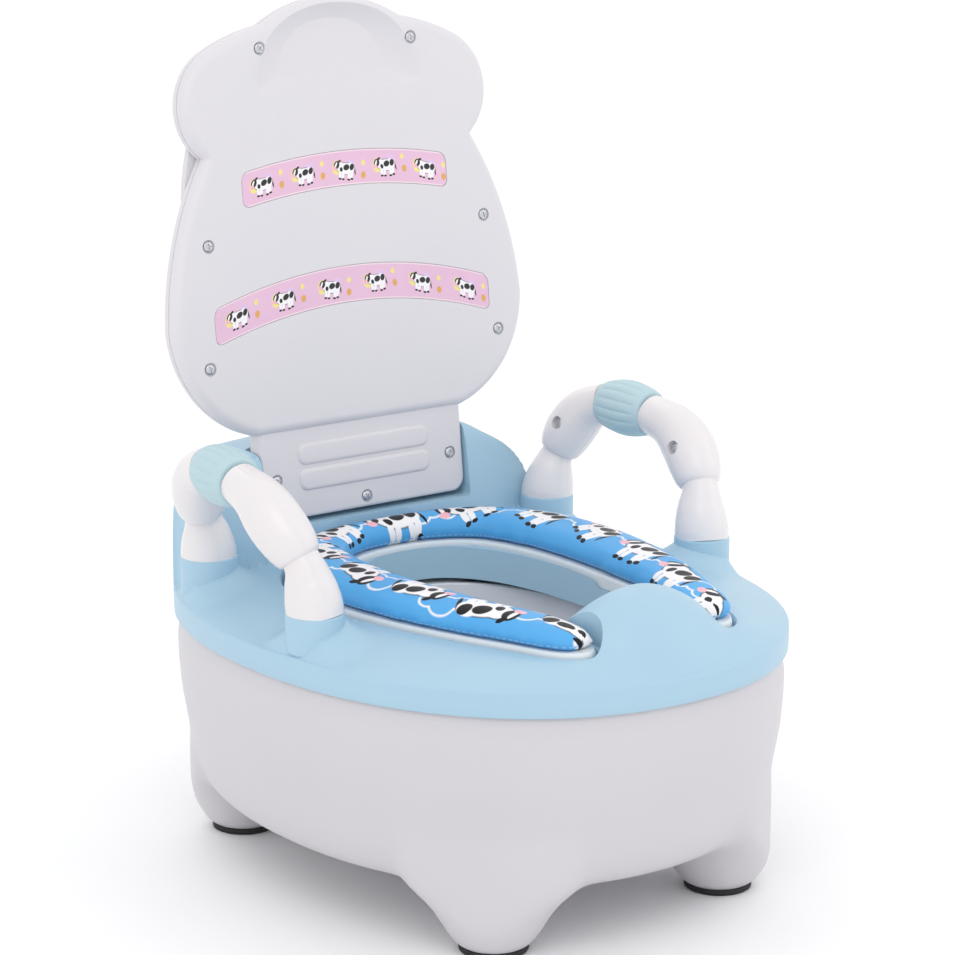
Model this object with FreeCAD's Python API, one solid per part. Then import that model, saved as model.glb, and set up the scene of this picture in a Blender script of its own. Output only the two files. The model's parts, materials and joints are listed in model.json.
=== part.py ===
import FreeCAD, Part
import math
import os

# Children's potty chair: a footed base with a slide-out pot, a seat panel with two
# arched handles and a U-shaped cushion, and a backrest lid that folds down over the seat.
# Millimetres. +Z is up, the floor is z = 0, the front faces -Y, and the origin is on the
# floor under the middle of the seat rim.

V = FreeCAD.Vector
MIRROR_AXIS = V(1, 0, 0)

os.makedirs("parts", exist_ok=True)

# ---- Driving dimensions -------------------------------------------------------------

# Rounded-oval outline shared by base and seat panel: |x/a|^p + |y/b|^p = 1
OVAL_POWER = 2.18
OVAL_POINTS = 24
WALL = 3.0
FAR = 400.0

# Seat panel
RIM_HALF_X = 166.0
RIM_HALF_Y = 206.0
RIM_TOP_Z = 158.0
RIM_CHAMFER = 2.5
SKIRT_HEIGHT = 15.0
LEDGE_WIDTH = 12.0
SKIRT_BOTTOM_Z = RIM_TOP_Z - SKIRT_HEIGHT
DECK_RISE = 20.0
DECK_Z = RIM_TOP_Z + DECK_RISE
DECK_EDGE_INSET = 54.0
POCKET_DEPTH = 6.0
POCKET_FLOOR_Z = DECK_Z - POCKET_DEPTH
POCKET_GAP = 2.0
COLLAR_WALL = 2.5

# Opening in the seat, and the domed splash guard in front of it
OPENING_HALF_X = 57.5
OPENING_REAR_Y = 76.5
OPENING_FRONT_INSET = 66.0
OPENING_FRONT_Y = OPENING_FRONT_INSET - RIM_HALF_Y
GUARD_HALF_X = 75.0
GUARD_DEPTH = 51.0
GUARD_RISE = 49.0
GUARD_CENTRE = V(0, GUARD_DEPTH - RIM_HALF_Y, RIM_TOP_Z)
GUARD_RADII = V(GUARD_HALF_X, GUARD_DEPTH, GUARD_RISE)

# Mound behind the lid's neck
MOUND_INSET_X = 32.0
MOUND_HALF_X = RIM_HALF_X - MOUND_INSET_X
MOUND_RISE = 72.0
MOUND_TOP_Z = DECK_Z + MOUND_RISE
MOUND_DEPTH = 99.0
MOUND_REAR_Y = RIM_HALF_Y
MOUND_FRONT_Y = MOUND_REAR_Y - MOUND_DEPTH

# Base
RIM_OVERHANG = 2.0
BASE_HALF_X = RIM_HALF_X - RIM_OVERHANG
BASE_HALF_Y = RIM_HALF_Y - RIM_OVERHANG
BASE_TOP_INSET = 1.5
BASE_TOP_BELOW_RIM = 5.0
BASE_FLOOR_Z = 36.0
BASE_TOP_Z = RIM_TOP_Z - BASE_TOP_BELOW_RIM
LEG_INSET_X = 79.0
LEG_INSET_Y = 73.0
LEG_X = BASE_HALF_X - LEG_INSET_X
LEG_Y = BASE_HALF_Y - LEG_INSET_Y
LEG_SKIN_SCALE = 0.972
PAD_HEIGHT = 4.0
PAD_RADIUS = 19.5
PAD_PEG_RADIUS = 5.0
PAD_PEG_LENGTH = 5.0

# Slide-out pot and its front
POT_CENTRE_Y = -22.0
POT_HALF_Y = 98.0
POT_RIM_GAP = 3.5
POT_RIM_Z = RIM_TOP_Z - POT_RIM_GAP
POT_FLOOR_GAP = 10.0
POT_BOTTOM_Z = BASE_FLOOR_Z + POT_FLOOR_GAP
POT_FLANGE = 5.0
DRAWER_HALF_X = 84.0
DRAWER_GAP = 0.5
DRAWER_TOP_GAP = 1.2
POT_SIDE_GAP = 14.0
POT_HALF_X = DRAWER_HALF_X - POT_SIDE_GAP
COLLAR_POT_GAP = 3.0
COLLAR_BOTTOM_Z = POT_RIM_Z + COLLAR_POT_GAP
RUNNER_X = 35.0
RUNNER_WIDTH = 5.0
SLIDE_GAP = 0.3
BRIDGE_INSET = 10.0
BRIDGE_RIB_HEIGHT = 12.0
FRONT_BLOCK_DEPTH = 24.0

# Cushion
CUSHION_INSET_X = 55.5
CUSHION_HALF_X = RIM_HALF_X - CUSHION_INSET_X
CUSHION_INSET_FRONT = 33.5
CUSHION_HEIGHT = 26.0
CUSHION_CREST_Z = POCKET_FLOOR_Z + CUSHION_HEIGHT
CUSHION_EDGE_ROUND = 4.0
BOARD_THICKNESS = 4.5
BOARD_INSET = 1.5
COVER_THICKNESS = 2.0

# Lid: a sheet leaning back, measured along s up the sheet and n out of its front face
LID_LEAN_DEG = 6.56
LID_FOOT_SETBACK = 2.9
LID_FOOT_RISE = 22.0
LID_FOOT = V(0, MOUND_FRONT_Y + LID_FOOT_SETBACK, DECK_Z + LID_FOOT_RISE)
NECK_HALF_X = 77.0
NECK_TOP_S = 55.0
NECK_STEP = 3.0
LID_THICKNESS = 16.0
LID_PARTING_N = -LID_THICKNESS / 2
LID_TOP_S = 321.0
HINGE_S = 12.0
HINGE_N = -9.0
HINGE_CLEARANCE = 1.0
STOP_GAP = 0.6
BACK_DOME_CENTRE_S = 190.0
BACK_DOME_RADII = V(112, 128, 14)
SCOOP_DROP = 34.0
SCOOP_RADII = V(60, 28, 13)
BAND_THICKNESS = 0.8
BAND_RECESS = 1.0
PIN_RADIUS = 3.0
PIN_RUNNING_FIT = 0.05
PIN_IN_NECK = 17.0
PIN_IN_SEAT = 21.0
PIN_INNER_X = NECK_HALF_X - PIN_IN_NECK
PIN_OUTER_X = NECK_HALF_X + PIN_IN_SEAT
PIN_BOSS_RADIUS = 8.0
PIN_LUG_REACH = 8.0

# Lid screws
SCREW_HEAD_RADIUS = 3.3
SCREW_HEAD_HEIGHT = 1.8
SCREW_SHANK_RADIUS = 1.6
SCREW_LENGTH = 12.0
SCREW_BOSS_RADIUS = 4.2
SCREW_PROUD = 0.6

# Handles: stations are (centre, radius) along the right-hand arch, measured from its foot
FRONT_FOOT = V(RIM_HALF_X - 20.5, -41.5, DECK_Z + 12.6)
REAR_FOOT = V(RIM_HALF_X - 35.8, 95.5, DECK_Z + 15.2)
FRONT_STATIONS = [
    (V(0, 0, 0), 16.8), (V(1.3, 3.0, 15.4), 14.6), (V(4.1, 7.5, 29.7), 10.8),
    (V(9.7, 23.9, 48.3), 16.0), (V(10.7, 39.9, 59.4), 15.0), (V(9.7, 61.6, 64.9), 13.0),
]
REAR_STATIONS = [
    (V(0, 0, 0), 16.8), (V(2.4, -1.5, 13.8), 14.2), (V(6.3, -3.5, 26.5), 9.8),
    (V(13.0, -11.0, 45.0), 15.7), (V(17.0, -20.8, 56.2), 14.8), (V(20.7, -36.4, 63.5), 13.0),
]
HANDLE_FRONT = [(FRONT_FOOT + offset, radius) for offset, radius in FRONT_STATIONS]
HANDLE_REAR = [(REAR_FOOT + offset, radius) for offset, radius in REAR_STATIONS]
HANDLE_SIDE = V(0.9616, 0.1118, -0.2508)
HANDLE_WALL = 2.4
SPIGOT_RADIUS = 9.0
SPIGOT_DEPTH = 14.0
BOSS_RADIUS = 17.3
BOSS_CLEARANCE = 1.0
GRIP_END_RADIUS = 13.8
GRIP_MID_RADIUS = 18.0
HANDLE_SCREW_STATION = 3
HANDLE_BOSS_RADIUS = 4.5
SCREW_HEAD_DEPTH = 4.0

# ---- Shape helpers ------------------------------------------------------------------


def spline_wire(points):
    curve = Part.BSplineCurve()
    curve.interpolate(points, PeriodicFlag=True)
    return Part.Wire([curve.toShape()])


def oval(half_x, half_y, z, centre_y=0.0):
    points = []
    for i in range(OVAL_POINTS):
        angle = 2 * math.pi * i / OVAL_POINTS
        c = math.cos(angle)
        s = math.sin(angle)
        x = half_x * math.copysign(abs(c) ** (2 / OVAL_POWER), c)
        y = half_y * math.copysign(abs(s) ** (2 / OVAL_POWER), s)
        points.append(V(x, y + centre_y, z))
    return spline_wire(points)


def oval_stack(sections, centre_y=0.0):
    """Solid through ovals given as (half_x, half_y, z), bottom first."""
    wires = [oval(a, b, z, centre_y) for a, b, z in sections]
    return Part.makeLoft(wires, True, True)


def grown(right_side, offset):
    """The points of mirrored_outline moved outwards by offset, or inwards if it is negative."""
    first = (-right_side[1][0], right_side[1][1])
    last = (-right_side[-2][0], right_side[-2][1])
    padded = [first] + right_side + [last]
    moved = []
    for before, point, after in zip(padded, right_side, padded[2:]):
        run = V(after[0] - before[0], after[1] - before[1], 0).normalize()
        moved.append((point[0] - run.y * offset, point[1] + run.x * offset))
    return moved


def mirrored_outline(right_side, z, offset=0.0):
    """Closed outline through points (x, y) on the right; the first and last lie on x = 0."""
    right = grown(right_side, offset)
    left = [(-x, y) for x, y in reversed(right[1:-1])]
    return spline_wire([V(x, y, z) for x, y in right + left])


def prism(wire, height):
    return Part.Face(wire).extrude(V(0, 0, height))


def box(x0, x1, y0, y1, z0, z1):
    return Part.makeBox(x1 - x0, y1 - y0, z1 - z0, V(x0, y0, z0))


def ellipsoid(centre, radii):
    ball = Part.makeSphere(1.0)
    matrix = FreeCAD.Matrix()
    matrix.scale(radii)
    solid = ball.transformGeometry(matrix)
    solid.translate(centre)
    return solid


def x_prism(points_yz, half_width):
    """Block with a polygon outline in Y and Z, from -half_width to half_width in X."""
    corners = [V(-half_width, y, z) for y, z in points_yz]
    corners.append(corners[0])
    return Part.Face(Part.makePolygon(corners)).extrude(V(2 * half_width, 0, 0))


def mirrored(shape):
    return shape.mirror(V(0, 0, 0), MIRROR_AXIS)


def both_sides(shape):
    return [shape, mirrored(shape)]


def fuse_all(shapes):
    return shapes[0].multiFuse(shapes[1:])


def save(name, shape):
    shape.exportStep("parts/" + name + ".step")


# ---- Lid frame ----------------------------------------------------------------------

LID_PLACE = FreeCAD.Placement(LID_FOOT, FreeCAD.Rotation(V(1, 0, 0), 90 - LID_LEAN_DEG))


def on_lid(x, s, n):
    return LID_PLACE.multVec(V(x, s, n))


def placed_on_lid(shape):
    moved = shape.copy()
    moved.Placement = LID_PLACE.multiply(moved.Placement)
    return moved


HINGE = on_lid(0, HINGE_S, HINGE_N)
NECK_SWEEP = math.hypot(HINGE_S, LID_THICKNESS + HINGE_N)

# ---- Base and feet ------------------------------------------------------------------

# Base sections as (share of the full outline, height), and leg sections as (radius, height)
BASE_PROFILE = [
    (0.83, BASE_FLOOR_Z), (0.915, BASE_FLOOR_Z + 8), (0.95, BASE_FLOOR_Z + 26),
    (0.969, BASE_FLOOR_Z + 45), (0.99, BASE_FLOOR_Z + 68), (1.0, SKIRT_BOTTOM_Z - 6),
]
LEG_PROFILE = [
    (PAD_RADIUS + 1, PAD_HEIGHT), (PAD_RADIUS + 7, PAD_HEIGHT + 8), (PAD_RADIUS + 15, PAD_HEIGHT + 21),
    (PAD_RADIUS + 25, BASE_FLOOR_Z), (PAD_RADIUS + 29, BASE_FLOOR_Z + 14),
]
LEG_CENTRES = {
    "front_left": V(-LEG_X, -LEG_Y, 0),
    "front_right": V(LEG_X, -LEG_Y, 0),
    "rear_left": V(-LEG_X, LEG_Y, 0),
    "rear_right": V(LEG_X, LEG_Y, 0),
}


def base_body(inset, top_z=BASE_TOP_Z):
    """Belly of the base, shrunk by inset, with its upper edge stepped in under the seat panel."""
    sections = []
    for scale, z in BASE_PROFILE:
        sections.append((BASE_HALF_X * scale - inset, BASE_HALF_Y * scale - inset, z))
    sections[0] = (sections[0][0], sections[0][1], BASE_FLOOR_Z + inset)
    top = BASE_TOP_INSET + inset
    sections.append((BASE_HALF_X - top, BASE_HALF_Y - top, SKIRT_BOTTOM_Z - 1))
    sections.append((BASE_HALF_X - top, BASE_HALF_Y - top, BASE_TOP_Z))
    if top_z > BASE_TOP_Z:
        sections.append((BASE_HALF_X - top, BASE_HALF_Y - top, top_z))
    return oval_stack(sections)


def leg(centre, inset):
    """Leg that flares into the belly, kept within the base's outline."""
    wires = []
    for radius, z in LEG_PROFILE:
        wires.append(Part.Wire([Part.makeCircle(radius - inset, V(centre.x, centre.y, z))]))
    solid = Part.makeLoft(wires, True, True)
    skin_x = BASE_HALF_X * LEG_SKIN_SCALE - inset
    skin_y = BASE_HALF_Y * LEG_SKIN_SCALE - inset
    skin = oval_stack([(skin_x, skin_y, PAD_HEIGHT + inset), (skin_x, skin_y, 2 * BASE_FLOOR_Z)])
    return solid.common(skin)


base_outer = fuse_all([base_body(0)] + [leg(c, 0) for c in LEG_CENTRES.values()])
base_inner = fuse_all([base_body(WALL)] + [leg(c, WALL) for c in LEG_CENTRES.values()])
base_shell = base_outer.cut(base_inner)
window_bottom_z = POT_BOTTOM_Z - 2 * DRAWER_GAP
drawer_window = box(-DRAWER_HALF_X, DRAWER_HALF_X, LEG_Y, 2 * BASE_HALF_Y, window_bottom_z, 2 * BASE_TOP_Z)
runner = box(
    RUNNER_X - RUNNER_WIDTH / 2,
    RUNNER_X + RUNNER_WIDTH / 2,
    POT_CENTRE_Y - POT_HALF_Y,
    LEG_Y + PAD_RADIUS,
    BASE_FLOOR_Z + WALL,
    POT_BOTTOM_Z - SLIDE_GAP,
)
base_shell = fuse_all([base_shell.cut(drawer_window)] + both_sides(runner))
for name, centre in LEG_CENTRES.items():
    pad = Part.makeCylinder(PAD_RADIUS, PAD_HEIGHT, centre)
    peg = Part.makeCylinder(PAD_PEG_RADIUS, PAD_PEG_LENGTH + PAD_HEIGHT, centre)
    base_shell = base_shell.cut(peg)
    save("foot_pad_" + name, pad.fuse(peg).removeSplitter())
save("base_shell", base_shell)

# ---- Slide-out pot ------------------------------------------------------------------


def pot_bowl(inset):
    taper = [(0.70, 0.80, POT_BOTTOM_Z), (0.82, 0.88, POT_BOTTOM_Z + 14), (1.0, 1.0, POT_RIM_Z)]
    sections = [(POT_HALF_X * kx - inset, POT_HALF_Y * ky - inset, z) for kx, ky, z in taper]
    sections[0] = (sections[0][0], sections[0][1], POT_BOTTOM_Z + inset)
    return oval_stack(sections, POT_CENTRE_Y)


front_block_y = BASE_HALF_Y - FRONT_BLOCK_DEPTH
front_block_half_x = POT_HALF_X - BRIDGE_INSET
front_block_bottom_z = POT_RIM_Z - BRIDGE_RIB_HEIGHT
flange_section = [
    (POT_HALF_X + POT_FLANGE, POT_HALF_Y + POT_FLANGE, POT_RIM_Z - WALL),
    (POT_HALF_X + POT_FLANGE, POT_HALF_Y + POT_FLANGE, POT_RIM_Z),
]
flange = oval_stack(flange_section, POT_CENTRE_Y)
bridge = box(-front_block_half_x, front_block_half_x, 0, front_block_y, POT_RIM_Z - WALL, POT_RIM_Z)
bridge_rib = box(
    front_block_half_x - WALL,
    front_block_half_x,
    POT_CENTRE_Y + POT_HALF_Y - 12,
    front_block_y,
    front_block_bottom_z,
    POT_RIM_Z,
)
drawer_pot = fuse_all([pot_bowl(0), flange, bridge] + both_sides(bridge_rib)).cut(pot_bowl(WALL))
save("drawer_pot", drawer_pot)

front_limit_x = DRAWER_HALF_X - DRAWER_GAP
front_bottom_z = POT_BOTTOM_Z - DRAWER_GAP
front_zone = box(-front_limit_x, front_limit_x, LEG_Y, 2 * BASE_HALF_Y, front_bottom_z, POT_RIM_Z)
front_body = base_body(0, POT_RIM_Z)
front_hollow = base_body(WALL, POT_RIM_Z + 1)
front_block = box(
    -front_block_half_x,
    front_block_half_x,
    front_block_y,
    2 * BASE_HALF_Y,
    front_block_bottom_z,
    POT_RIM_Z,
)
drawer_front = front_body.common(front_zone).cut(front_hollow.cut(front_block))
save("drawer_front", drawer_front)

# ---- Cushion outline, shared by the cushion and its pocket ----------------------------

rear_y = MOUND_FRONT_Y - 0.5
front_y = CUSHION_INSET_FRONT - RIM_HALF_Y
outer_x = CUSHION_HALF_X
inner_x = OPENING_HALF_X + 3.0
CUSHION_RIGHT = [
    (0.0, rear_y), (45.0, rear_y - 5.0), (outer_x - 26.5, rear_y - 26.5), (outer_x - 4.5, rear_y - 64.5),
    (outer_x, rear_y - 110.5), (outer_x - 6.5, front_y + 120.5), (outer_x - 21.0, front_y + 72.5),
    (outer_x - 34.5, front_y + 37.0), (outer_x - 43.0, front_y + 14.5), (outer_x - 52.5, front_y + 2.5),
    (outer_x - 63.5, front_y), (inner_x - 21.5, front_y + 7.5), (inner_x - 23.5, front_y + 21.0),
    (inner_x - 19.0, front_y + 40.0), (inner_x - 12.0, front_y + 60.0), (inner_x - 6.0, front_y + 80.0),
    (inner_x - 2.0, front_y + 122.5), (inner_x, OPENING_REAR_Y - 85.0), (inner_x - 2.5, OPENING_REAR_Y - 48.5),
    (inner_x - 12.5, OPENING_REAR_Y - 16.5), (inner_x - 31.5, OPENING_REAR_Y - 2.0),
    (0.0, OPENING_REAR_Y + 3.0),
]


def cushion_block(z0, z1, offset):
    """Slab of the cushion's U, grown outwards by offset (shrunk if it is negative)."""
    return prism(mirrored_outline(CUSHION_RIGHT, z0, offset), z1 - z0)


OPENING_RIGHT = [
    (0.0, OPENING_REAR_Y), (28.0, OPENING_REAR_Y - 4.5), (46.0, OPENING_REAR_Y - 20.0),
    (OPENING_HALF_X - 1.5, 25.0), (OPENING_HALF_X, -10.0), (OPENING_HALF_X - 2.0, -48.0),
    (OPENING_HALF_X - 6.5, OPENING_FRONT_Y + 53.0), (OPENING_HALF_X - 12.0, OPENING_FRONT_Y + 30.0),
    (OPENING_HALF_X - 24.0, OPENING_FRONT_Y + 10.0), (OPENING_HALF_X - 42.0, OPENING_FRONT_Y + 1.5),
    (0.0, OPENING_FRONT_Y),
]


def opening_prism(z0, z1, grow=0.0):
    return prism(mirrored_outline(OPENING_RIGHT, z0, grow), z1 - z0)


# ---- Seat panel ---------------------------------------------------------------------


def deck(inset):
    """Domed top over a straight skirt; the inner copy is open at the bottom."""
    bottom = SKIRT_BOTTOM_Z - (1.0 if inset else 0.0)
    reach = DECK_EDGE_INSET
    sections = [
        (RIM_HALF_X - inset, RIM_HALF_Y - inset, bottom),
        (RIM_HALF_X - inset, RIM_HALF_Y - inset, RIM_TOP_Z - inset - RIM_CHAMFER),
        (RIM_HALF_X - inset - RIM_CHAMFER, RIM_HALF_Y - inset - RIM_CHAMFER, RIM_TOP_Z - inset),
        (RIM_HALF_X - inset - reach * 0.45, RIM_HALF_Y - inset - reach * 0.33, DECK_Z - inset - 9.5),
        (RIM_HALF_X - inset - reach * 0.85, RIM_HALF_Y - inset - reach * 0.57, DECK_Z - inset - 1.5),
        (RIM_HALF_X - inset - reach, RIM_HALF_Y - inset - reach * 0.67, DECK_Z - inset),
    ]
    return oval_stack(sections)


def mound(inset):
    """Rounded hump behind the lid's neck, hollow when built with an inset."""
    half_x = MOUND_HALF_X - inset
    top = MOUND_TOP_Z - inset
    low = RIM_TOP_Z
    right = [
        (0.0, top), (40.0, top - 1.5), (half_x - 54.0, top - 7.0), (half_x - 40.0, top - 15.0),
        (half_x - 24.0, top - 24.0), (half_x - 12.0, top - 35.5), (half_x - 6.0, top - 53.0), (half_x, low),
    ]
    outline = Part.BSplineCurve()
    outline.interpolate([V(x, 0, z) for x, z in right])
    right_edge = outline.toShape()
    left_edge = right_edge.mirror(V(0, 0, 0), MIRROR_AXIS)
    base_edge = Part.makeLine(V(-half_x, 0, low), V(half_x, 0, low))
    front_view = Part.Face(Part.Wire(Part.__sortEdges__([right_edge, base_edge, left_edge])))
    across = front_view.extrude(V(0, 2 * MOUND_REAR_Y, 0))
    rear = MOUND_REAR_Y - inset
    side_view = [
        (MOUND_FRONT_Y + inset, low - 1), (MOUND_FRONT_Y + inset, low + 38), (MOUND_FRONT_Y + inset + 7, top),
        (rear - 54, top), (rear - 33, top - 10), (rear - 15, top - 32), (rear - 5, top - 65), (rear, low - 1),
    ]
    return across.common(x_prism(side_view, 2 * MOUND_HALF_X))


def rim_column(inset):
    """Tall column over the rim's outline, which keeps the mound within the rim."""
    half_x = RIM_HALF_X - inset
    half_y = RIM_HALF_Y - inset
    return oval_stack([(half_x, half_y, SKIRT_BOTTOM_Z - 1), (half_x, half_y, 2 * MOUND_TOP_Z)])


stop_low = on_lid(0, HINGE_S + NECK_SWEEP + 2, -LID_THICKNESS - STOP_GAP)
stop_high = on_lid(0, NECK_TOP_S + 15, -LID_THICKNESS - STOP_GAP)
recess_reach = NECK_SWEEP + HINGE_CLEARANCE


def neck_recess(grow):
    """Pocket that the neck turns in, with a slanted rear face that stops the open lid."""
    rear = HINGE.y + recess_reach + grow
    floor = HINGE.z - recess_reach - grow
    points = [
        (MOUND_FRONT_Y - 20, floor), (rear, floor), (rear, stop_low.z - grow),
        (stop_low.y + grow, stop_low.z - grow), (stop_high.y + grow, stop_high.z),
        (MOUND_FRONT_Y - 20, stop_high.z),
    ]
    return x_prism(points, NECK_HALF_X + HINGE_CLEARANCE + grow)


pin_boss_length = PIN_OUTER_X + WALL - NECK_HALF_X
pin_boss_start = V(NECK_HALF_X + HINGE_CLEARANCE, HINGE.y, HINGE.z)
pin_boss = Part.makeCylinder(PIN_BOSS_RADIUS, pin_boss_length, pin_boss_start, MIRROR_AXIS)
pin_length = PIN_OUTER_X - PIN_INNER_X
pin = Part.makeCylinder(PIN_RADIUS, pin_length, V(PIN_INNER_X, HINGE.y, HINGE.z), MIRROR_AXIS)
handle_feet = [FRONT_FOOT, REAR_FOOT]

seat_outer = fuse_all([deck(0), mound(0), ellipsoid(GUARD_CENTRE, GUARD_RADII)])
guard_inner = ellipsoid(GUARD_CENTRE, GUARD_RADII - V(WALL, WALL, WALL))
seat_inner = fuse_all([deck(WALL), mound(WALL).common(rim_column(WALL)), guard_inner])
seat_shell = seat_outer.common(rim_column(0)).cut(seat_inner)
pocket_tray = cushion_block(POCKET_FLOOR_Z - WALL, DECK_Z, POCKET_GAP + WALL).common(rim_column(0))
collar = opening_prism(COLLAR_BOTTOM_Z, DECK_Z, COLLAR_WALL).common(seat_outer)
ledge_x = RIM_HALF_X - WALL / 2
ledge_y = RIM_HALF_Y - WALL / 2
ledge_outer = oval_stack([(ledge_x, ledge_y, BASE_TOP_Z), (ledge_x, ledge_y, BASE_TOP_Z + WALL)])
ledge_hole_x = RIM_HALF_X - LEDGE_WIDTH
ledge_hole_y = RIM_HALF_Y - LEDGE_WIDTH
ledge_hole = oval_stack([(ledge_hole_x, ledge_hole_y, BASE_TOP_Z - 1), (ledge_hole_x, ledge_hole_y, RIM_TOP_Z)])
ledge = ledge_outer.cut(ledge_hole)
recess_wall = neck_recess(WALL).common(mound(0))
bosses = []
for foot in handle_feet:
    boss = Part.makeCylinder(BOSS_RADIUS, foot.z - RIM_TOP_Z, V(foot.x, foot.y, RIM_TOP_Z))
    bosses.extend(both_sides(boss))
seat_panel = fuse_all([seat_shell, pocket_tray, collar, ledge, recess_wall] + both_sides(pin_boss) + bosses)
niche_radius = BOSS_RADIUS + BOSS_CLEARANCE
niche_height = MOUND_TOP_Z - REAR_FOOT.z
post_niche = Part.makeCylinder(niche_radius, niche_height, REAR_FOOT)
niche_wall = Part.makeCylinder(niche_radius + WALL, niche_height, REAR_FOOT - V(0, 0, WALL)).common(mound(0))
seat_panel = fuse_all([seat_panel] + both_sides(niche_wall))
for shape in both_sides(post_niche) + [neck_recess(0)]:
    seat_panel = seat_panel.cut(shape)
seat_panel = seat_panel.cut(cushion_block(POCKET_FLOOR_Z, MOUND_TOP_Z, POCKET_GAP))
seat_panel = seat_panel.cut(opening_prism(SKIRT_BOTTOM_Z - 5, MOUND_TOP_Z))
pass_half_x = DRAWER_HALF_X + 2 * DRAWER_GAP
pass_top_z = POT_RIM_Z + DRAWER_TOP_GAP
drawer_pass = box(-pass_half_x, pass_half_x, LEG_Y, 2 * RIM_HALF_Y, SKIRT_BOTTOM_Z - 5, pass_top_z)
seat_panel = seat_panel.cut(drawer_pass)
for foot in handle_feet:
    socket = Part.makeCylinder(SPIGOT_RADIUS, SPIGOT_DEPTH + 1, V(foot.x, foot.y, foot.z - SPIGOT_DEPTH - 1))
    for hole in both_sides(socket):
        seat_panel = seat_panel.cut(hole)
for shape in both_sides(pin):
    seat_panel = seat_panel.cut(shape)
save("seat_panel", seat_panel)
save("hinge_pin_right", pin)
save("hinge_pin_left", mirrored(pin))

# ---- Cushion ------------------------------------------------------------------------

board_top_z = POCKET_FLOOR_Z + BOARD_THICKNESS
save("cushion_board", cushion_block(POCKET_FLOOR_Z, board_top_z, -BOARD_INSET))
cover_steps = []
for step in (0, 1, 2):
    step_top = CUSHION_CREST_Z - CUSHION_EDGE_ROUND * (2 - step)
    cover_steps.append(cushion_block(board_top_z, step_top, -CUSHION_EDGE_ROUND * step / 2))
cover_block = fuse_all(cover_steps)
foam_top_z = CUSHION_CREST_Z - CUSHION_EDGE_ROUND - COVER_THICKNESS
foam = cushion_block(board_top_z + COVER_THICKNESS, foam_top_z, -COVER_THICKNESS - CUSHION_EDGE_ROUND / 2)
save("cushion_foam", foam)
save("cushion_cover", cover_block.cut(foam))

# ---- Lid ----------------------------------------------------------------------------

# Right half of the lid's outline as arcs through (start, middle, end) in (x, s)
LID_ARCS = [
    ((NECK_HALF_X, NECK_TOP_S), (115.0, 79.0), (132.6, 124.0)),
    ((132.6, 124.0), (122.5, 180.0), (100.5, 228.0)),
    ((100.5, 228.0), (114.2, 261.0), (94.0, 292.0)),
    ((94.0, 292.0), (74.0, 300.5), (52.0, 306.0)),
]
LID_TOP_ARC = ((52.0, 306.0), (0.0, LID_TOP_S), (-52.0, 306.0))
SCREW_SITES = [
    (56.7, 291.8), (-56.7, 291.8), (104.4, 175.3), (-104.4, 175.3), (110.0, 100.9), (-110.0, 100.9),
    (NECK_HALF_X - 10.4, 25.4), (10.4 - NECK_HALF_X, 25.4), (0.0, 6.85),
]
NECK_RIB_HALF_X = NECK_HALF_X - 27.0
NECK_RIB_HALF_WIDTH = 7.0
NECK_RIB_PROUD = 1.5
NECK_RIB_SITES = [39.5, 23.5]
BAND_SITES = {
    "band_upper": {"top": 225.0, "bottom": 203.6, "top_end": (76.0, 217.0), "bottom_end": (78.0, 195.5)},
    "band_lower": {"top": 153.5, "bottom": 131.0, "top_end": (104.0, 135.0), "bottom_end": (104.5, 115.0)},
}


def flat_arc(a, b, c, side=1):
    """Arc through three (x, s) points; side -1 mirrors it to the left."""
    return Part.Arc(V(a[0] * side, a[1], 0), V(b[0] * side, b[1], 0), V(c[0] * side, c[1], 0)).toShape()


def lid_outline():
    edges = [flat_arc(a, b, c) for a, b, c in LID_ARCS]
    edges.append(flat_arc(*LID_TOP_ARC))
    edges.extend([flat_arc(a, b, c, -1) for a, b, c in LID_ARCS])
    edges.append(Part.makeLine(V(-NECK_HALF_X, NECK_TOP_S, 0), V(NECK_HALF_X, NECK_TOP_S, 0)))
    return Part.Wire(Part.__sortEdges__(edges))


def lid_slab(n0, n1, inset=0.0, neck_front=None):
    """Lid and neck between two depths; the neck's front may be lower than the body's."""
    face = Part.Face(lid_outline())
    if inset:
        face = face.makeOffset2D(-inset)
    body = face.extrude(V(0, 0, n1 - n0))
    body.translate(V(0, 0, n0))
    half = NECK_HALF_X - inset
    neck_top = n1 if neck_front is None else neck_front
    neck = box(-half, half, inset, NECK_TOP_S + inset + 5, n0, neck_top)
    return fuse_all([body, neck])


def band_plate(site, n0, n1):
    top = flat_arc((-site["top_end"][0], site["top_end"][1]), (0, site["top"]), site["top_end"])
    low = flat_arc((-site["bottom_end"][0], site["bottom_end"][1]), (0, site["bottom"]), site["bottom_end"])
    sides = []
    for side in (-1, 1):
        start = V(side * site["top_end"][0], site["top_end"][1], 0)
        end = V(side * site["bottom_end"][0], site["bottom_end"][1], 0)
        sides.append(Part.makeLine(start, end))
    plate = Part.Face(Part.Wire(Part.__sortEdges__([top, low] + sides))).extrude(V(0, 0, n1 - n0))
    plate.translate(V(0, 0, n0))
    return plate


def neck_rib(s):
    half = NECK_RIB_HALF_WIDTH
    top_n = NECK_RIB_PROUD - NECK_STEP
    bar = box(-NECK_RIB_HALF_X, NECK_RIB_HALF_X, s - half, s + half, -NECK_STEP - 1, top_n)
    corners = [e for e in bar.Edges if abs(e.BoundBox.ZLength) > 1]
    return bar.makeFillet(half - 0.5, corners)


def screw_face_n(s):
    return -NECK_STEP if s < NECK_TOP_S else 0.0


def cylinder_n(x, s, radius, n0, n1):
    return Part.makeCylinder(radius, n1 - n0, V(x, s, n0))


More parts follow.
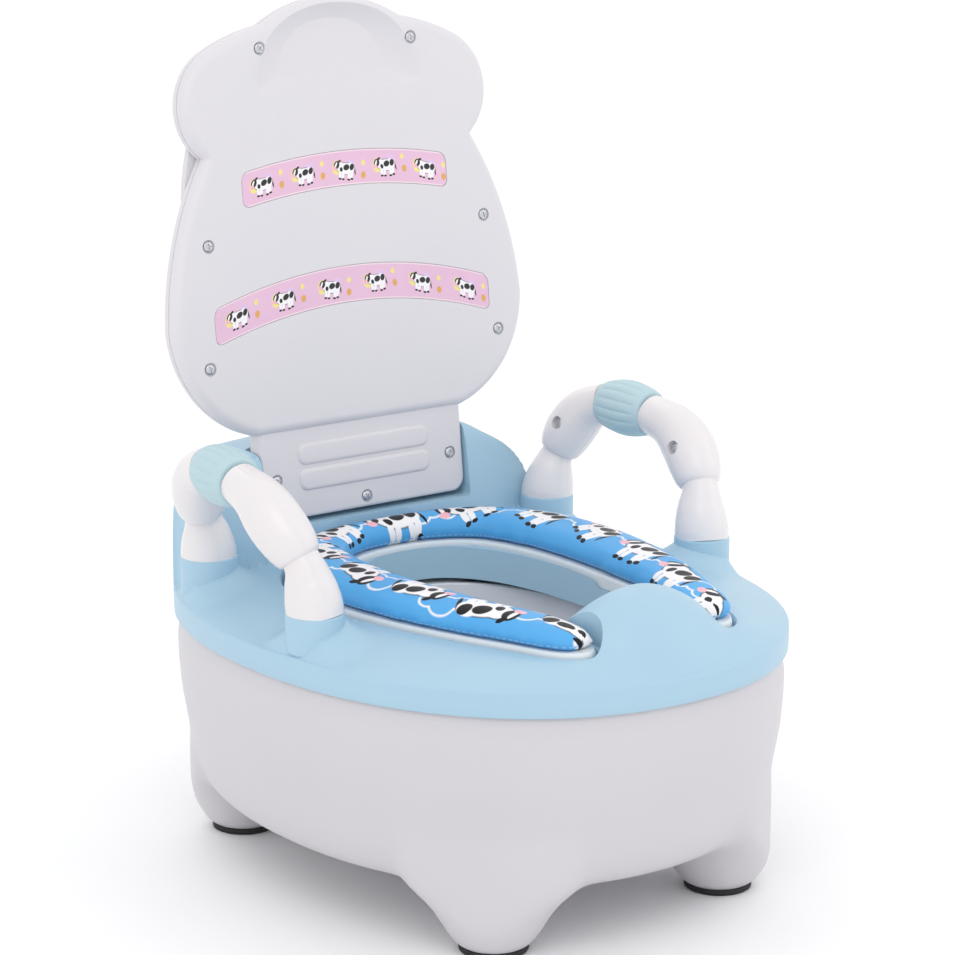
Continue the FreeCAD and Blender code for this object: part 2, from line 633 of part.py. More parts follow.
back_n = -LID_THICKNESS
scoop_centre = V(0, LID_TOP_S - SCOOP_DROP, 0)
scoop_bowl = ellipsoid(scoop_centre, SCOOP_RADII + V(WALL, WALL, WALL))
pin_bore_start = V(-NECK_HALF_X - 1, HINGE_S, HINGE_N)
pin_bore = Part.makeCylinder(PIN_RADIUS + PIN_RUNNING_FIT, 2 * NECK_HALF_X + 2, pin_bore_start, MIRROR_AXIS)


def between(n0, n1):
    """Large block between two depths, for cutting lid shapes to a layer."""
    return box(-FAR, FAR, -FAR, FAR, n0, n1)



front_hollow = lid_slab(LID_PARTING_N, -WALL, WALL, -NECK_STEP - WALL)
front_shell = lid_slab(LID_PARTING_N, 0.0, 0.0, -NECK_STEP).cut(front_hollow)
scoop_wall = scoop_bowl.common(between(-FAR, 0))
front_shell = fuse_all([front_shell, scoop_wall] + [neck_rib(s) for s in NECK_RIB_SITES])
back_dome = ellipsoid(V(0, BACK_DOME_CENTRE_S, back_n), BACK_DOME_RADII)
back_dome = back_dome.common(between(-FAR, back_n + 1))
dome_cavity = ellipsoid(V(0, BACK_DOME_CENTRE_S, back_n), BACK_DOME_RADII - V(WALL, WALL, WALL))
dome_cavity = dome_cavity.common(between(-FAR, back_n + WALL + 1))
cavity = lid_slab(back_n + WALL, LID_PARTING_N, WALL)
back_shell = fuse_all([lid_slab(back_n, LID_PARTING_N), back_dome]).cut(fuse_all([cavity, dome_cavity]))

hinge_lugs = []
lug_inner_x = PIN_INNER_X - PIN_LUG_REACH
for x0, x1 in ((lug_inner_x, NECK_HALF_X), (-NECK_HALF_X, -lug_inner_x)):
    hinge_lugs.append(box(x0, x1, 1, HINGE_S + PIN_LUG_REACH, back_n, -NECK_STEP))
front_parts = [front_shell] + [lug.common(between(LID_PARTING_N, 0)) for lug in hinge_lugs]
back_parts = [back_shell] + [lug.common(between(back_n, LID_PARTING_N)) for lug in hinge_lugs]
for x, s in SCREW_SITES:
    front_parts.append(cylinder_n(x, s, SCREW_BOSS_RADIUS, LID_PARTING_N, screw_face_n(s) - WALL / 2))
    back_parts.append(cylinder_n(x, s, SCREW_BOSS_RADIUS, back_n, LID_PARTING_N))
front_shell = fuse_all(front_parts).cut(pin_bore)
back_shell = fuse_all(back_parts).cut(pin_bore).cut(scoop_bowl)
front_shell = front_shell.cut(ellipsoid(scoop_centre, SCOOP_RADII))

screws = []
for x, s in SCREW_SITES:
    face_n = screw_face_n(s)
    seat_n = face_n + SCREW_PROUD - SCREW_HEAD_HEIGHT
    head = cylinder_n(x, s, SCREW_HEAD_RADIUS, seat_n, face_n + SCREW_PROUD)
    shank = cylinder_n(x, s, SCREW_SHANK_RADIUS, seat_n - SCREW_LENGTH + 2, seat_n)
    screws.append(head.fuse(shank).removeSplitter())
    front_shell = front_shell.cut(cylinder_n(x, s, SCREW_HEAD_RADIUS, seat_n, face_n + 5))
    front_shell = front_shell.cut(shank)
    back_shell = back_shell.cut(shank)
for name, site in BAND_SITES.items():
    front_shell = front_shell.cut(band_plate(site, -BAND_RECESS, 1.0))
    save(name, placed_on_lid(band_plate(site, -BAND_RECESS, -BAND_RECESS + BAND_THICKNESS)))
save("lid_front_shell", placed_on_lid(front_shell))
save("lid_back_shell", placed_on_lid(back_shell))
save("lid_screws", placed_on_lid(Part.makeCompound(screws)))

# ---- Handles ------------------------------------------------------------------------


def ring(centre, direction, radius):
    """Circle across the handle's run, its start point kept towards the handle's side."""
    z_axis = V(direction).normalize()
    x_axis = (HANDLE_SIDE - z_axis * HANDLE_SIDE.dot(z_axis)).normalize()
    y_axis = z_axis.cross(x_axis)
    matrix = FreeCAD.Matrix(
        x_axis.x, y_axis.x, z_axis.x, centre.x,
        x_axis.y, y_axis.y, z_axis.y, centre.y,
        x_axis.z, y_axis.z, z_axis.z, centre.z,
        0, 0, 0, 1,
    )
    circle = Part.makeCircle(radius)
    circle.transformShape(matrix)
    return Part.Wire([circle])


def arch(stations, end_direction, inset):
    """One leg of a handle: upright at its foot, in line with the grip at its end."""
    wires = []
    for i, (centre, radius) in enumerate(stations):
        if i == 0:
            direction = V(0, 0, 1)
            centre = centre + direction * inset
        elif i == len(stations) - 1:
            direction = end_direction
            centre = centre - V(direction).normalize() * inset
        else:
            direction = stations[i + 1][0] - stations[i - 1][0]
        wires.append(ring(centre, direction, radius - inset))
    return Part.makeLoft(wires, True, False)


def side_half(outwards):
    """Half space on one side of the handle's parting plane, as a large block."""
    block = box(-FAR, FAR, -FAR, FAR, 0, FAR)
    normal = HANDLE_SIDE if outwards else HANDLE_SIDE * -1
    rotation = FreeCAD.Rotation(V(0, 0, 1), normal)
    block.Placement = FreeCAD.Placement(HANDLE_FRONT[HANDLE_SCREW_STATION][0], rotation)
    return block


grip_front = HANDLE_FRONT[-1][0]
grip_rear = HANDLE_REAR[-1][0]
grip_run = grip_rear - grip_front
grip_length = grip_run.Length
core_length = grip_length / 2 + WALL
core_lead = V(grip_run).normalize() * WALL
core_front = Part.makeCylinder(SPIGOT_RADIUS, core_length, grip_front - core_lead, grip_run)
core_rear = Part.makeCylinder(SPIGOT_RADIUS, core_length, grip_rear + core_lead, grip_run * -1)

grip_middle = V(GRIP_MID_RADIUS, 0, grip_length / 2)
grip_side = Part.Arc(V(GRIP_END_RADIUS, 0, 0), grip_middle, V(GRIP_END_RADIUS, 0, grip_length))
grip_outline = Part.Wire([
    Part.makeLine(V(SPIGOT_RADIUS, 0, 0), V(GRIP_END_RADIUS, 0, 0)),
    grip_side.toShape(),
    Part.makeLine(V(GRIP_END_RADIUS, 0, grip_length), V(SPIGOT_RADIUS, 0, grip_length)),
    Part.makeLine(V(SPIGOT_RADIUS, 0, grip_length), V(SPIGOT_RADIUS, 0, 0)),
])
grip = Part.Face(grip_outline).revolve(V(0, 0, 0), V(0, 0, 1), 360)
grip.Placement = FreeCAD.Placement(grip_front, FreeCAD.Rotation(V(0, 0, 1), grip_run))

handle_parts = {"grip": grip}
handle_screws = []
for end_name, stations, core in (("front", HANDLE_FRONT, core_front), ("rear", HANDLE_REAR, core_rear)):
    end_direction = grip_run if end_name == "front" else grip_run * -1
    foot = stations[0][0]
    spigot = Part.makeCylinder(SPIGOT_RADIUS, SPIGOT_DEPTH, V(foot.x, foot.y, foot.z - SPIGOT_DEPTH))
    screw_at = stations[HANDLE_SCREW_STATION][0]
    screw_radius = stations[HANDLE_SCREW_STATION][1]
    boss_reach = screw_radius - HANDLE_WALL / 2
    boss_start = screw_at - HANDLE_SIDE * boss_reach
    boss = Part.makeCylinder(HANDLE_BOSS_RADIUS, 2 * boss_reach, boss_start, HANDLE_SIDE)
    tube = arch(stations, end_direction, 0).cut(arch(stations, end_direction, HANDLE_WALL))
    leg_solid = fuse_all([tube, spigot, core, boss])
    seat = screw_at - HANDLE_SIDE * (screw_radius - SCREW_HEAD_DEPTH)
    head = Part.makeCylinder(SCREW_HEAD_RADIUS, SCREW_HEAD_HEIGHT, seat, HANDLE_SIDE)
    shank_length = 2 * (screw_radius - SCREW_HEAD_DEPTH) - SCREW_HEAD_DEPTH
    shank = Part.makeCylinder(SCREW_SHANK_RADIUS, shank_length, seat, HANDLE_SIDE)
    screw = head.fuse(shank).removeSplitter()
    dimple_depth = 2 * SCREW_HEAD_DEPTH
    dimple = Part.makeCylinder(SCREW_HEAD_RADIUS, dimple_depth, seat - HANDLE_SIDE * dimple_depth, HANDLE_SIDE)
    leg_solid = leg_solid.cut(screw).cut(dimple)
    handle_screws.append(screw)
    handle_parts[end_name + "_outer"] = leg_solid.common(side_half(True))
    handle_parts[end_name + "_inner"] = leg_solid.common(side_half(False))
handle_parts["screws"] = Part.makeCompound(handle_screws)

for part_name, shape in handle_parts.items():
    save("handle_right_" + part_name, shape)
    save("handle_left_" + part_name, mirrored(shape))
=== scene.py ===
import json
import logging
import math
from dataclasses import dataclass, field
from enum import Enum
from typing import Callable, Sequence

import bpy
import numpy as np
from mathutils import Matrix, Vector


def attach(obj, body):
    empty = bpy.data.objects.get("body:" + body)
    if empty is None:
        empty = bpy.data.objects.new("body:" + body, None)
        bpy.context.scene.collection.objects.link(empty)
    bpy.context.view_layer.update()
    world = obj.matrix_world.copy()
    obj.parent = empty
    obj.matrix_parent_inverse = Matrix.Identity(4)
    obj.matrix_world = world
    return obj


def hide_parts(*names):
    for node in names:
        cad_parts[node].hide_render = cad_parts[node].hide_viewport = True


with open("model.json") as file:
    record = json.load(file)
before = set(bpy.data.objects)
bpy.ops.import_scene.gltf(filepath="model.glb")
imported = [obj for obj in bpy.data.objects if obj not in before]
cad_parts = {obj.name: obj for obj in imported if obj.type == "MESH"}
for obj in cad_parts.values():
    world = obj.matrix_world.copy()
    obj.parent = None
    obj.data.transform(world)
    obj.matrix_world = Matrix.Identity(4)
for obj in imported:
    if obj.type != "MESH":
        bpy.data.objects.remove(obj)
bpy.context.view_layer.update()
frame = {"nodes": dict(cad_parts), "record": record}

LOG = logging.getLogger("potty_chair")
MM = 0.001
RGBA = {"data_type": "RGBA"}
TURN = 2 * math.pi

Piece = bpy.types.Object
Finish = bpy.types.Material
Finishes = dict[str, Finish]
Tree = bpy.types.NodeTree
Socket = bpy.types.NodeSocket
Pairs = tuple[tuple[float, float], ...]
Triples = tuple[tuple[float, float, float], ...]


class Body(Enum):
    """The three rigid bodies of the chair."""

    ROOT = "root"
    LID = "lid"
    DRAWER = "drawer"


# ---- Mesh tools ---------------------------------------------------------------------


def deselect_all() -> None:
    """Leave nothing selected, so that the next operator acts on the new piece only."""
    bpy.ops.object.select_all(action="DESELECT")


def take(piece: Piece) -> None:
    """Make piece the only selected and the active object."""
    deselect_all()
    piece.select_set(True)
    bpy.context.view_layer.objects.active = piece


def edit_all(piece: Piece, work: Callable[[], None]) -> None:
    """Run work in edit mode with the whole of piece selected.

    Args:
        piece: the object to edit.
        work: calls the edit-mode operators.
    """
    take(piece)
    bpy.ops.object.mode_set(mode="EDIT")
    bpy.ops.mesh.select_all(action="SELECT")
    work()
    bpy.ops.object.mode_set(mode="OBJECT")


def close_and_face_outwards(piece: Piece, weld: float = 1e-6) -> None:
    """Merge doubled vertices and turn every face of a closed piece outwards.

    Args:
        piece: the object to clean.
        weld: distance in metres under which vertices become one.
    """

    def work() -> None:
        """Weld, then recalculate normals."""
        bpy.ops.mesh.remove_doubles(threshold=weld)
        bpy.ops.mesh.normals_make_consistent(inside=False)

    edit_all(piece, work)


def lay_grid(name: str, rows: np.ndarray, loop_rows: bool = False) -> Piece:
    """Lay a grid over rows of points that each run once round the piece.

    Args:
        name: the new object's name.
        rows: array of shape (row, column, 3) in metres; columns close on themselves.
        loop_rows: True when the last row joins the first, as round a hollow section.

    Returns:
        The new closed piece.
    """
    points = np.concatenate([rows, rows[:, :1]], axis=1)
    if loop_rows:
        points = np.concatenate([points, points[:1]], axis=0)
    count_v, count_u = points.shape[0] - 1, points.shape[1] - 1
    deselect_all()
    bpy.ops.mesh.primitive_grid_add(x_subdivisions=count_u, y_subdivisions=count_v, size=1)
    piece = bpy.context.object
    piece.name = name
    flat = np.empty(len(piece.data.vertices) * 3)
    piece.data.vertices.foreach_get("co", flat)
    flat = flat.reshape(-1, 3)
    iu = np.rint((flat[:, 0] + 0.5) * count_u).astype(int)
    iv = np.rint((flat[:, 1] + 0.5) * count_v).astype(int)
    piece.data.vertices.foreach_set("co", points[iv, iu].reshape(-1))
    close_and_face_outwards(piece)
    return piece


def apply(piece: Piece, kind: str, **settings: object) -> None:
    """Add one modifier with its settings and apply it.

    Args:
        piece: the object to change.
        kind: the modifier's type.
        **settings: values for the modifier.
    """
    take(piece)
    modifier = piece.modifiers.new(kind.title(), kind)
    for key, value in settings.items():
        setattr(modifier, key, value)
    bpy.ops.object.modifier_apply(modifier=modifier.name)


def carve(piece: Piece, cutter: Piece, operation: str = "DIFFERENCE") -> None:
    """Cut, join or intersect piece with cutter, and remove cutter.

    Args:
        piece: the object that stays.
        cutter: the object used up.
        operation: DIFFERENCE, UNION or INTERSECT.
    """
    apply(piece, "BOOLEAN", object=cutter, operation=operation, solver="EXACT")
    bpy.data.objects.remove(cutter)


def join(pieces: Sequence[Piece], name: str) -> Piece:
    """Join closed pieces into one object.

    Args:
        pieces: the objects; the first one stays.
        name: the joined object's name.

    Returns:
        The joined object.
    """
    deselect_all()
    for piece in pieces:
        piece.select_set(True)
    bpy.context.view_layer.objects.active = pieces[0]
    bpy.ops.object.join()
    pieces[0].name = name
    return pieces[0]


def smooth(piece: Piece, angle_deg: float = 35.0) -> None:
    """Shade smooth, with edges sharper than angle_deg kept crisp."""
    take(piece)
    bpy.ops.object.shade_smooth_by_angle(angle=math.radians(angle_deg))


def oval(half_x: float, half_y: float, power: float, count: int, centre_y: float = 0.0) -> np.ndarray:
    """Points (x, y) round a rounded oval, starting on +X.

    Args:
        half_x: half width.
        half_y: half depth.
        power: 2 is an ellipse, more is squarer.
        count: number of points.
        centre_y: the oval's centre in Y.

    Returns:
        Array of shape (count, 2).
    """
    angle = np.linspace(0, TURN, count, endpoint=False)
    cos, sin = np.cos(angle), np.sin(angle)
    x = half_x * np.sign(cos) * np.abs(cos) ** (2 / power)
    y = half_y * np.sign(sin) * np.abs(sin) ** (2 / power) + centre_y
    return np.stack([x, y], axis=1)


def through(points: Sequence[Sequence[float]], per_span: int, closed: bool = False) -> np.ndarray:
    """Smooth curve through points, as a Catmull-Rom spline.

    Args:
        points: the points that the curve passes through, of any dimension.
        per_span: samples in each span.
        closed: True for a curve that returns to its start.

    Returns:
        The sampled points; the last point of an open curve is kept.
    """
    p = np.asarray(points, float)
    count = len(p)
    if closed:
        padded = np.concatenate([p[-1:], p, p[:2]])
        spans = count
    else:
        padded = np.concatenate([2 * p[:1] - p[1:2], p, 2 * p[-1:] - p[-2:-1]])
        spans = count - 1
    steps = np.linspace(0, 1, per_span, endpoint=False)[:, None]
    out = []
    for i in range(spans):
        a, b, c, d = padded[i], padded[i + 1], padded[i + 2], padded[i + 3]
        square = (2 * a - 5 * b + 4 * c - d) * steps**2
        cube = (3 * b - a - 3 * c + d) * steps**3
        out.append(0.5 * (2 * b + (c - a) * steps + square + cube))
    curve = np.concatenate(out)
    return curve if closed else np.concatenate([curve, p[-1:]])


def inset(outline: np.ndarray, distance: float) -> np.ndarray:
    """Move a closed outline inwards along its own normals.

    Args:
        outline: points (x, y), run anticlockwise.
        distance: how far inwards, or outwards if negative.

    Returns:
        The moved outline, with as many points.
    """
    ahead = np.roll(outline, -1, axis=0) - np.roll(outline, 1, axis=0)
    ahead /= np.linalg.norm(ahead, axis=1, keepdims=True)
    return outline + distance * np.stack([-ahead[:, 1], ahead[:, 0]], axis=1)


def level(flat: np.ndarray, z: np.ndarray | float) -> np.ndarray:
    """Row of points at height z over the flat points (x, y)."""
    return np.column_stack([flat, np.broadcast_to(z, len(flat))])


def ramp(low: float, high: float, value: np.ndarray) -> np.ndarray:
    """Smooth step from 0 at low to 1 at high."""
    t = np.clip((value - low) / (high - low), 0, 1)
    return t * t * (3 - 2 * t)


def blend_max(a: np.ndarray, b: np.ndarray, radius: float) -> np.ndarray:
    """The larger of two heights, with a fillet of about radius where they meet."""
    h = np.clip(0.5 + 0.5 * (a - b) / radius, 0, 1)
    return b + (a - b) * h + radius * h * (1 - h)


def blend_min(a: np.ndarray, b: np.ndarray, radius: float) -> np.ndarray:
    """The smaller of two heights, with a round of about radius where they meet."""
    return -blend_max(-a, -b, radius)


def distance_to_outline(points: np.ndarray, outline: np.ndarray) -> np.ndarray:
    """Signed distance of points from a closed outline, positive inside.

    Args:
        points: array of shape (n, 2).
        outline: closed polygon of shape (m, 2).

    Returns:
        Array of n distances.
    """
    nearest = np.full(len(points), 1e9)
    inside = np.zeros(len(points), bool)
    for a, b in zip(outline, np.roll(outline, -1, axis=0)):
        run = b - a
        t = np.clip(((points - a) @ run) / (run @ run), 0, 1)
        nearest = np.minimum(nearest, np.linalg.norm(points - a - t[:, None] * run, axis=1))
        crosses = (a[1] > points[:, 1]) != (b[1] > points[:, 1])
        rise = b[1] - a[1] if abs(b[1] - a[1]) > 1e-12 else 1e-12
        inside ^= crosses & (points[:, 0] < a[0] + (points[:, 1] - a[1]) / rise * run[0])
    return np.where(inside, nearest, -nearest)


# ---- Materials ----------------------------------------------------------------------


def linear(hex_colour: str) -> tuple[float, float, float, float]:
    """An sRGB hex colour as linear RGBA.

    Args:
        hex_colour: six hex digits after a #.

    Returns:
        The colour, with an alpha of 1.
    """
    channels = [int(hex_colour[i : i + 2], 16) / 255 for i in (1, 3, 5)]
    values = [c / 12.92 if c <= 0.04045 else ((c + 0.055) / 1.055) ** 2.4 for c in channels]
    return (values[0], values[1], values[2], 1.0)


def add(tree: Tree, kind: str, settings: dict | None = None, **inputs: object) -> bpy.types.Node:
    """Add a node, give it its settings, and set or link its inputs.

    Args:
        tree: the node tree.
        kind: the node's type.
        settings: properties of the node itself.
        **inputs: socket name or i0, i1 ... for a socket's number, with a value or a socket to link.

    Returns:
        The new node.
    """
    node = tree.nodes.new(kind)
    for key, value in (settings or {}).items():
        setattr(node, key, value)
    for key, value in inputs.items():
        name = key.replace("_", " ")
        socket = node.inputs[int(key[1:])] if key[0] == "i" and key[1:].isdigit() else node.inputs[name]
        if isinstance(value, Socket):
            tree.links.new(value, socket)
        else:
            socket.default_value = value
    return node


@dataclass(frozen=True)
class MouldedPlastic:
    """Injection-moulded polypropylene: an even colour, a satin face and a faint spark-eroded grain.

    The grain breaks the highlights up, and a slow drift of tone keeps large faces from looking flat.
    """

    name: str
    colour: str
    shade: str
    roughness: float = 0.42
    grain_mm: float = 1.1
    grain_height: float = 0.05
    drift_mm: float = 90.0
    coat: float = 0.0

    def build(self) -> Finish:
        """The finished material."""
        material = bpy.data.materials.new(self.name)
        material.use_nodes = True
        tree = material.node_tree
        shader = tree.nodes["Principled BSDF"]
        place = add(tree, "ShaderNodeTexCoord").outputs["Object"]
        drift = add(tree, "ShaderNodeTexNoise", Vector=place, Scale=1 / (self.drift_mm * MM), Detail=2.0)
        light, dark = linear(self.colour), linear(self.shade)
        tone = add(tree, "ShaderNodeMix", RGBA, i0=drift.outputs["Fac"], i6=light, i7=dark)
        tree.links.new(tone.outputs[2], shader.inputs["Base Color"])
        scale = 1 / (self.grain_mm * MM)
        grain = add(tree, "ShaderNodeTexNoise", Vector=place, Scale=scale, Detail=3.0, Roughness=0.6)
        low, high = self.roughness - 0.05, self.roughness + 0.05
        gloss = add(tree, "ShaderNodeMapRange", Value=grain.outputs["Fac"], To_Min=low, To_Max=high)
        tree.links.new(gloss.outputs[0], shader.inputs["Roughness"])
        height = grain.outputs["Fac"]
        bump = add(tree, "ShaderNodeBump", Strength=self.grain_height, Distance=0.4 * MM, Height=height)
        tree.links.new(bump.outputs[0], shader.inputs["Normal"])
        shader.inputs["IOR"].default_value = 1.49
        shader.inputs["Coat Weight"].default_value = self.coat
        shader.inputs["Coat Roughness"].default_value = 0.12
        return material


WHITE_SATIN = MouldedPlastic("polypropylene_white_satin", "#cfccd1", "#cac8cd", 0.42)
WHITE_LID = MouldedPlastic(
    "polypropylene_white_textured", "#dcd9dd", "#d7d5da", 0.47, grain_mm=1.4, grain_height=0.09
)
WHITE_GLOSS = MouldedPlastic(
    "polypropylene_white_gloss", "#e6e2e3", "#e2dee0", 0.25, grain_height=0.015, coat=0.2
)
PALE_BLUE = MouldedPlastic("polypropylene_pale_blue", "#a9c9dc", "#a4c6da", 0.38, grain_height=0.03)
POT_WHITE = MouldedPlastic("polypropylene_pot_white", "#dddfe4", "#d9dbe0", 0.34, grain_height=0.02)
GRIP_TEAL = MouldedPlastic(
    "elastomer_teal_moulded", "#b7d0d7", "#b0ccd4", 0.5, grain_mm=0.9, grain_height=0.12
)
PAD_BLACK = MouldedPlastic("rubber_black_moulded", "#1c1c1e", "#242426", 0.7, grain_mm=0.8, grain_height=0.2)
BOARD_PALE = MouldedPlastic("board_pale_pressed", "#dfe6ea", "#d7dfe4", 0.6, grain_height=0.1)
FOAM_CREAM = MouldedPlastic("foam_cream_cut", "#efe6cf", "#e8dfc6", 0.9, grain_mm=0.9, grain_height=0.5)
FLOOR_PAPER = MouldedPlastic("paper_floor_matt", "#fbfbfc", "#f9f9fa", 0.8, grain_height=0.0)


@dataclass(frozen=True)
class PlatedSteel:
    """Zinc-plated steel, tumbled in plating: bright, a little cool, with a soft uneven shine."""

    name: str
    colour: str = "#c9cbd0"
    roughness: float = 0.28
    mottle_mm: float = 1.5

    def build(self) -> Finish:
        """The finished material."""
        material = bpy.data.materials.new(self.name)
        material.use_nodes = True
        tree = material.node_tree
        shader = tree.nodes["Principled BSDF"]
        shader.inputs["Base Color"].default_value = linear(self.colour)
        shader.inputs["Metallic"].default_value = 1.0
        place = add(tree, "ShaderNodeTexCoord").outputs["Object"]
        mottle = add(tree, "ShaderNodeTexNoise", Vector=place, Scale=1 / (self.mottle_mm * MM), Detail=2.0)
        low, high = self.roughness - 0.08, self.roughness + 0.1
        shine = add(tree, "ShaderNodeMapRange", Value=mottle.outputs["Fac"], To_Min=low, To_Max=high)
        tree.links.new(shine.outputs[0], shader.inputs["Roughness"])
        return material


# ---- Prints -------------------------------------------------------------------------


class Ink(Enum):
    """Colours of the printed motif."""

    WHITE = "#f3f1f3"
    BLACK = "#08070a"
    PINK = "#f2b6c4"
    YELLOW = "#efdf86"
    ORANGE = "#dfa457"
    LILAC = "#dcc0e6"


# Grazing cow of plain ovals: (ink, centre x, centre y, half width, half height, turn in degrees),
# in millimetres for an animal about 40 mm long
COW = (
    (Ink.BLACK, 0, 0, 15.6, 9.6, 0), (Ink.BLACK, -9, 2, 8.6, 8.4, 0),
    (Ink.BLACK, 17.5, -2, 1.3, 7.5, 12), (Ink.WHITE, 0, 0, 14.8, 8.8, 0),
    (Ink.WHITE, -9, 2, 7.8, 7.6, 0), (Ink.WHITE, 9, 1, 8.0, 8.2, 0),
    (Ink.WHITE, -9.5, -10, 2.5, 6.5, 4), (Ink.WHITE, -4.2, -11, 2.4, 6.0, -6),
    (Ink.WHITE, 7, -11, 2.6, 6.5, 6), (Ink.WHITE, 12, -9.5, 2.5, 6.5, -8),
    (Ink.BLACK, -9.8, -16, 2.7, 1.7, 0), (Ink.BLACK, -3.8, -16.6, 2.6, 1.6, 0),
    (Ink.BLACK, 6.6, -17, 2.8, 1.7, 0), (Ink.BLACK, 12.6, -15.6, 2.7, 1.7, 0),
    (Ink.BLACK, 1.5, 2.0, 5.8, 4.6, 22), (Ink.BLACK, 11.8, 3.0, 4.0, 5.4, -18),
    (Ink.BLACK, -8.0, -1.6, 2.8, 3.6, 10), (Ink.BLACK, -17, 5.0, 5.2, 6.4, -24),
    (Ink.WHITE, -18.4, 4.6, 1.6, 5.0, -24), (Ink.PINK, -20.6, -0.6, 4.0, 2.9, -14),
    (Ink.BLACK, -12.4, 10.8, 3.6, 1.7, 32),
)
# Three puffs of a cloud: centre x, centre y, radius
CLOUD = ((-9, 0, 6.4), (0, 4.2, 8.0), (9.5, 0.6, 6.6))
# Dots beside the small cows of the lid's bands, drawn like the cow
DOTS = (
    (Ink.LILAC, 8, 8, 9, 6, 20), (Ink.YELLOW, -17, 1, 8, 11, 0),
    (Ink.ORANGE, 34, -8, 4.4, 5.6, 0), (Ink.YELLOW, 33, 11, 3.6, 4.4, 0),
)


def blot(
    tree: Tree, place: Socket, x: float, y: float, half_x: float, half_y: float, turn: float = 0.0
) -> Socket:
    """Soft-edged oval spot of print.

    Args:
        tree: the material's node tree.
        place: position on the print in millimetres.
        x: centre across.
        y: centre up.
        half_x: half width.
        half_y: half height.
        turn: rotation in degrees.

    Returns:
        The spot's mask, 1 inside.
    """
    local = add(
        tree, "ShaderNodeMapping", {"vector_type": "TEXTURE"}, Vector=place, Location=(x, y, 0.0),
        Rotation=(0.0, 0.0, math.radians(turn)), Scale=(half_x, half_y, 1.0),
    )
    reach = add(tree, "ShaderNodeVectorMath", {"operation": "LENGTH"}, i0=local.outputs[0])
    span = {"From_Min": 0.93, "From_Max": 1.07, "To_Min": 1.0, "To_Max": 0.0}
    return add(tree, "ShaderNodeMapRange", Value=reach.outputs["Value"], **span).outputs[0]


def print_drawing(tree: Tree, colour: Socket, place: Socket, drawing: Sequence[tuple]) -> Socket:
    """Print a drawing of ovals over a colour, one oval after the other.

    Args:
        tree: the material's node tree.
        colour: what is under the print.
        place: position on the print in millimetres.
        drawing: rows of ink, centre x, centre y, half width, half height and turn.

    Returns:
        The printed colour.
    """
    for ink, x, y, half_x, half_y, turn in drawing:
        spot = blot(tree, place, x, y, half_x, half_y, turn)
        colour = add(tree, "ShaderNodeMix", RGBA, i0=spot, i6=colour, i7=linear(ink.value)).outputs[2]
    return colour


def repeat_cells(
    tree: Tree, pitch: float, scale: float, wander: float, tilt: float, start: float = 0.0
) -> tuple[Socket, Socket]:
    """Cut a strip of print into equal cells, each with its own small shift and turn.

    The UV map "run" holds millimetres / 100 along and across the strip.

    Args:
        tree: the material's node tree.
        pitch: length of a cell in millimetres.
        scale: size of the motif compared with its drawing.
        wander: largest shift across the strip in millimetres.
        tilt: largest turn in radians.
        start: where the first cell begins, in millimetres.

    Returns:
        Position in the cell in drawing millimetres, and plain position on the strip.
    """
    uv = add(tree, "ShaderNodeUVMap", {"uv_map": "run"}).outputs[0]
    strip = add(tree, "ShaderNodeVectorMath", {"operation": "SCALE"}, i0=uv, Scale=100.0).outputs[0]
    parts = add(tree, "ShaderNodeSeparateXYZ", Vector=strip)
    begun = add(tree, "ShaderNodeMath", {"operation": "SUBTRACT"}, i0=parts.outputs[0], i1=start).outputs[0]
    cells = add(tree, "ShaderNodeMath", {"operation": "DIVIDE"}, i0=begun, i1=pitch).outputs[0]
    index = add(tree, "ShaderNodeMath", {"operation": "FLOOR"}, i0=cells).outputs[0]
    chance = add(tree, "ShaderNodeTexWhiteNoise", {"noise_dimensions": "1D"}, W=index)
    inner = add(tree, "ShaderNodeMath", {"operation": "FRACT"}, i0=cells).outputs[0]
    along = add(tree, "ShaderNodeMath", {"operation": "MULTIPLY_ADD"}, i0=inner, i1=pitch, i2=-pitch / 2)
    luck = chance.outputs["Value"]
    shift = add(tree, "ShaderNodeMapRange", Value=luck, To_Min=-wander, To_Max=wander).outputs[0]
    across = add(tree, "ShaderNodeMath", {"operation": "ADD"}, i0=parts.outputs[1], i1=shift).outputs[0]
    flat = add(tree, "ShaderNodeCombineXYZ", X=along.outputs[0], Y=across).outputs[0]
    shares = add(tree, "ShaderNodeSeparateColor", Color=chance.outputs["Color"])
    angle = add(tree, "ShaderNodeMapRange", Value=shares.outputs[1], To_Min=-tilt, To_Max=tilt).outputs[0]
    turned = add(tree, "ShaderNodeVectorRotate", {"rotation_type": "Z_AXIS"}, Vector=flat, Angle=angle)
    drawn = add(
        tree, "ShaderNodeVectorMath", {"operation": "SCALE"}, i0=turned.outputs[0], Scale=1.0 / scale
    )
    return drawn.outputs[0], strip


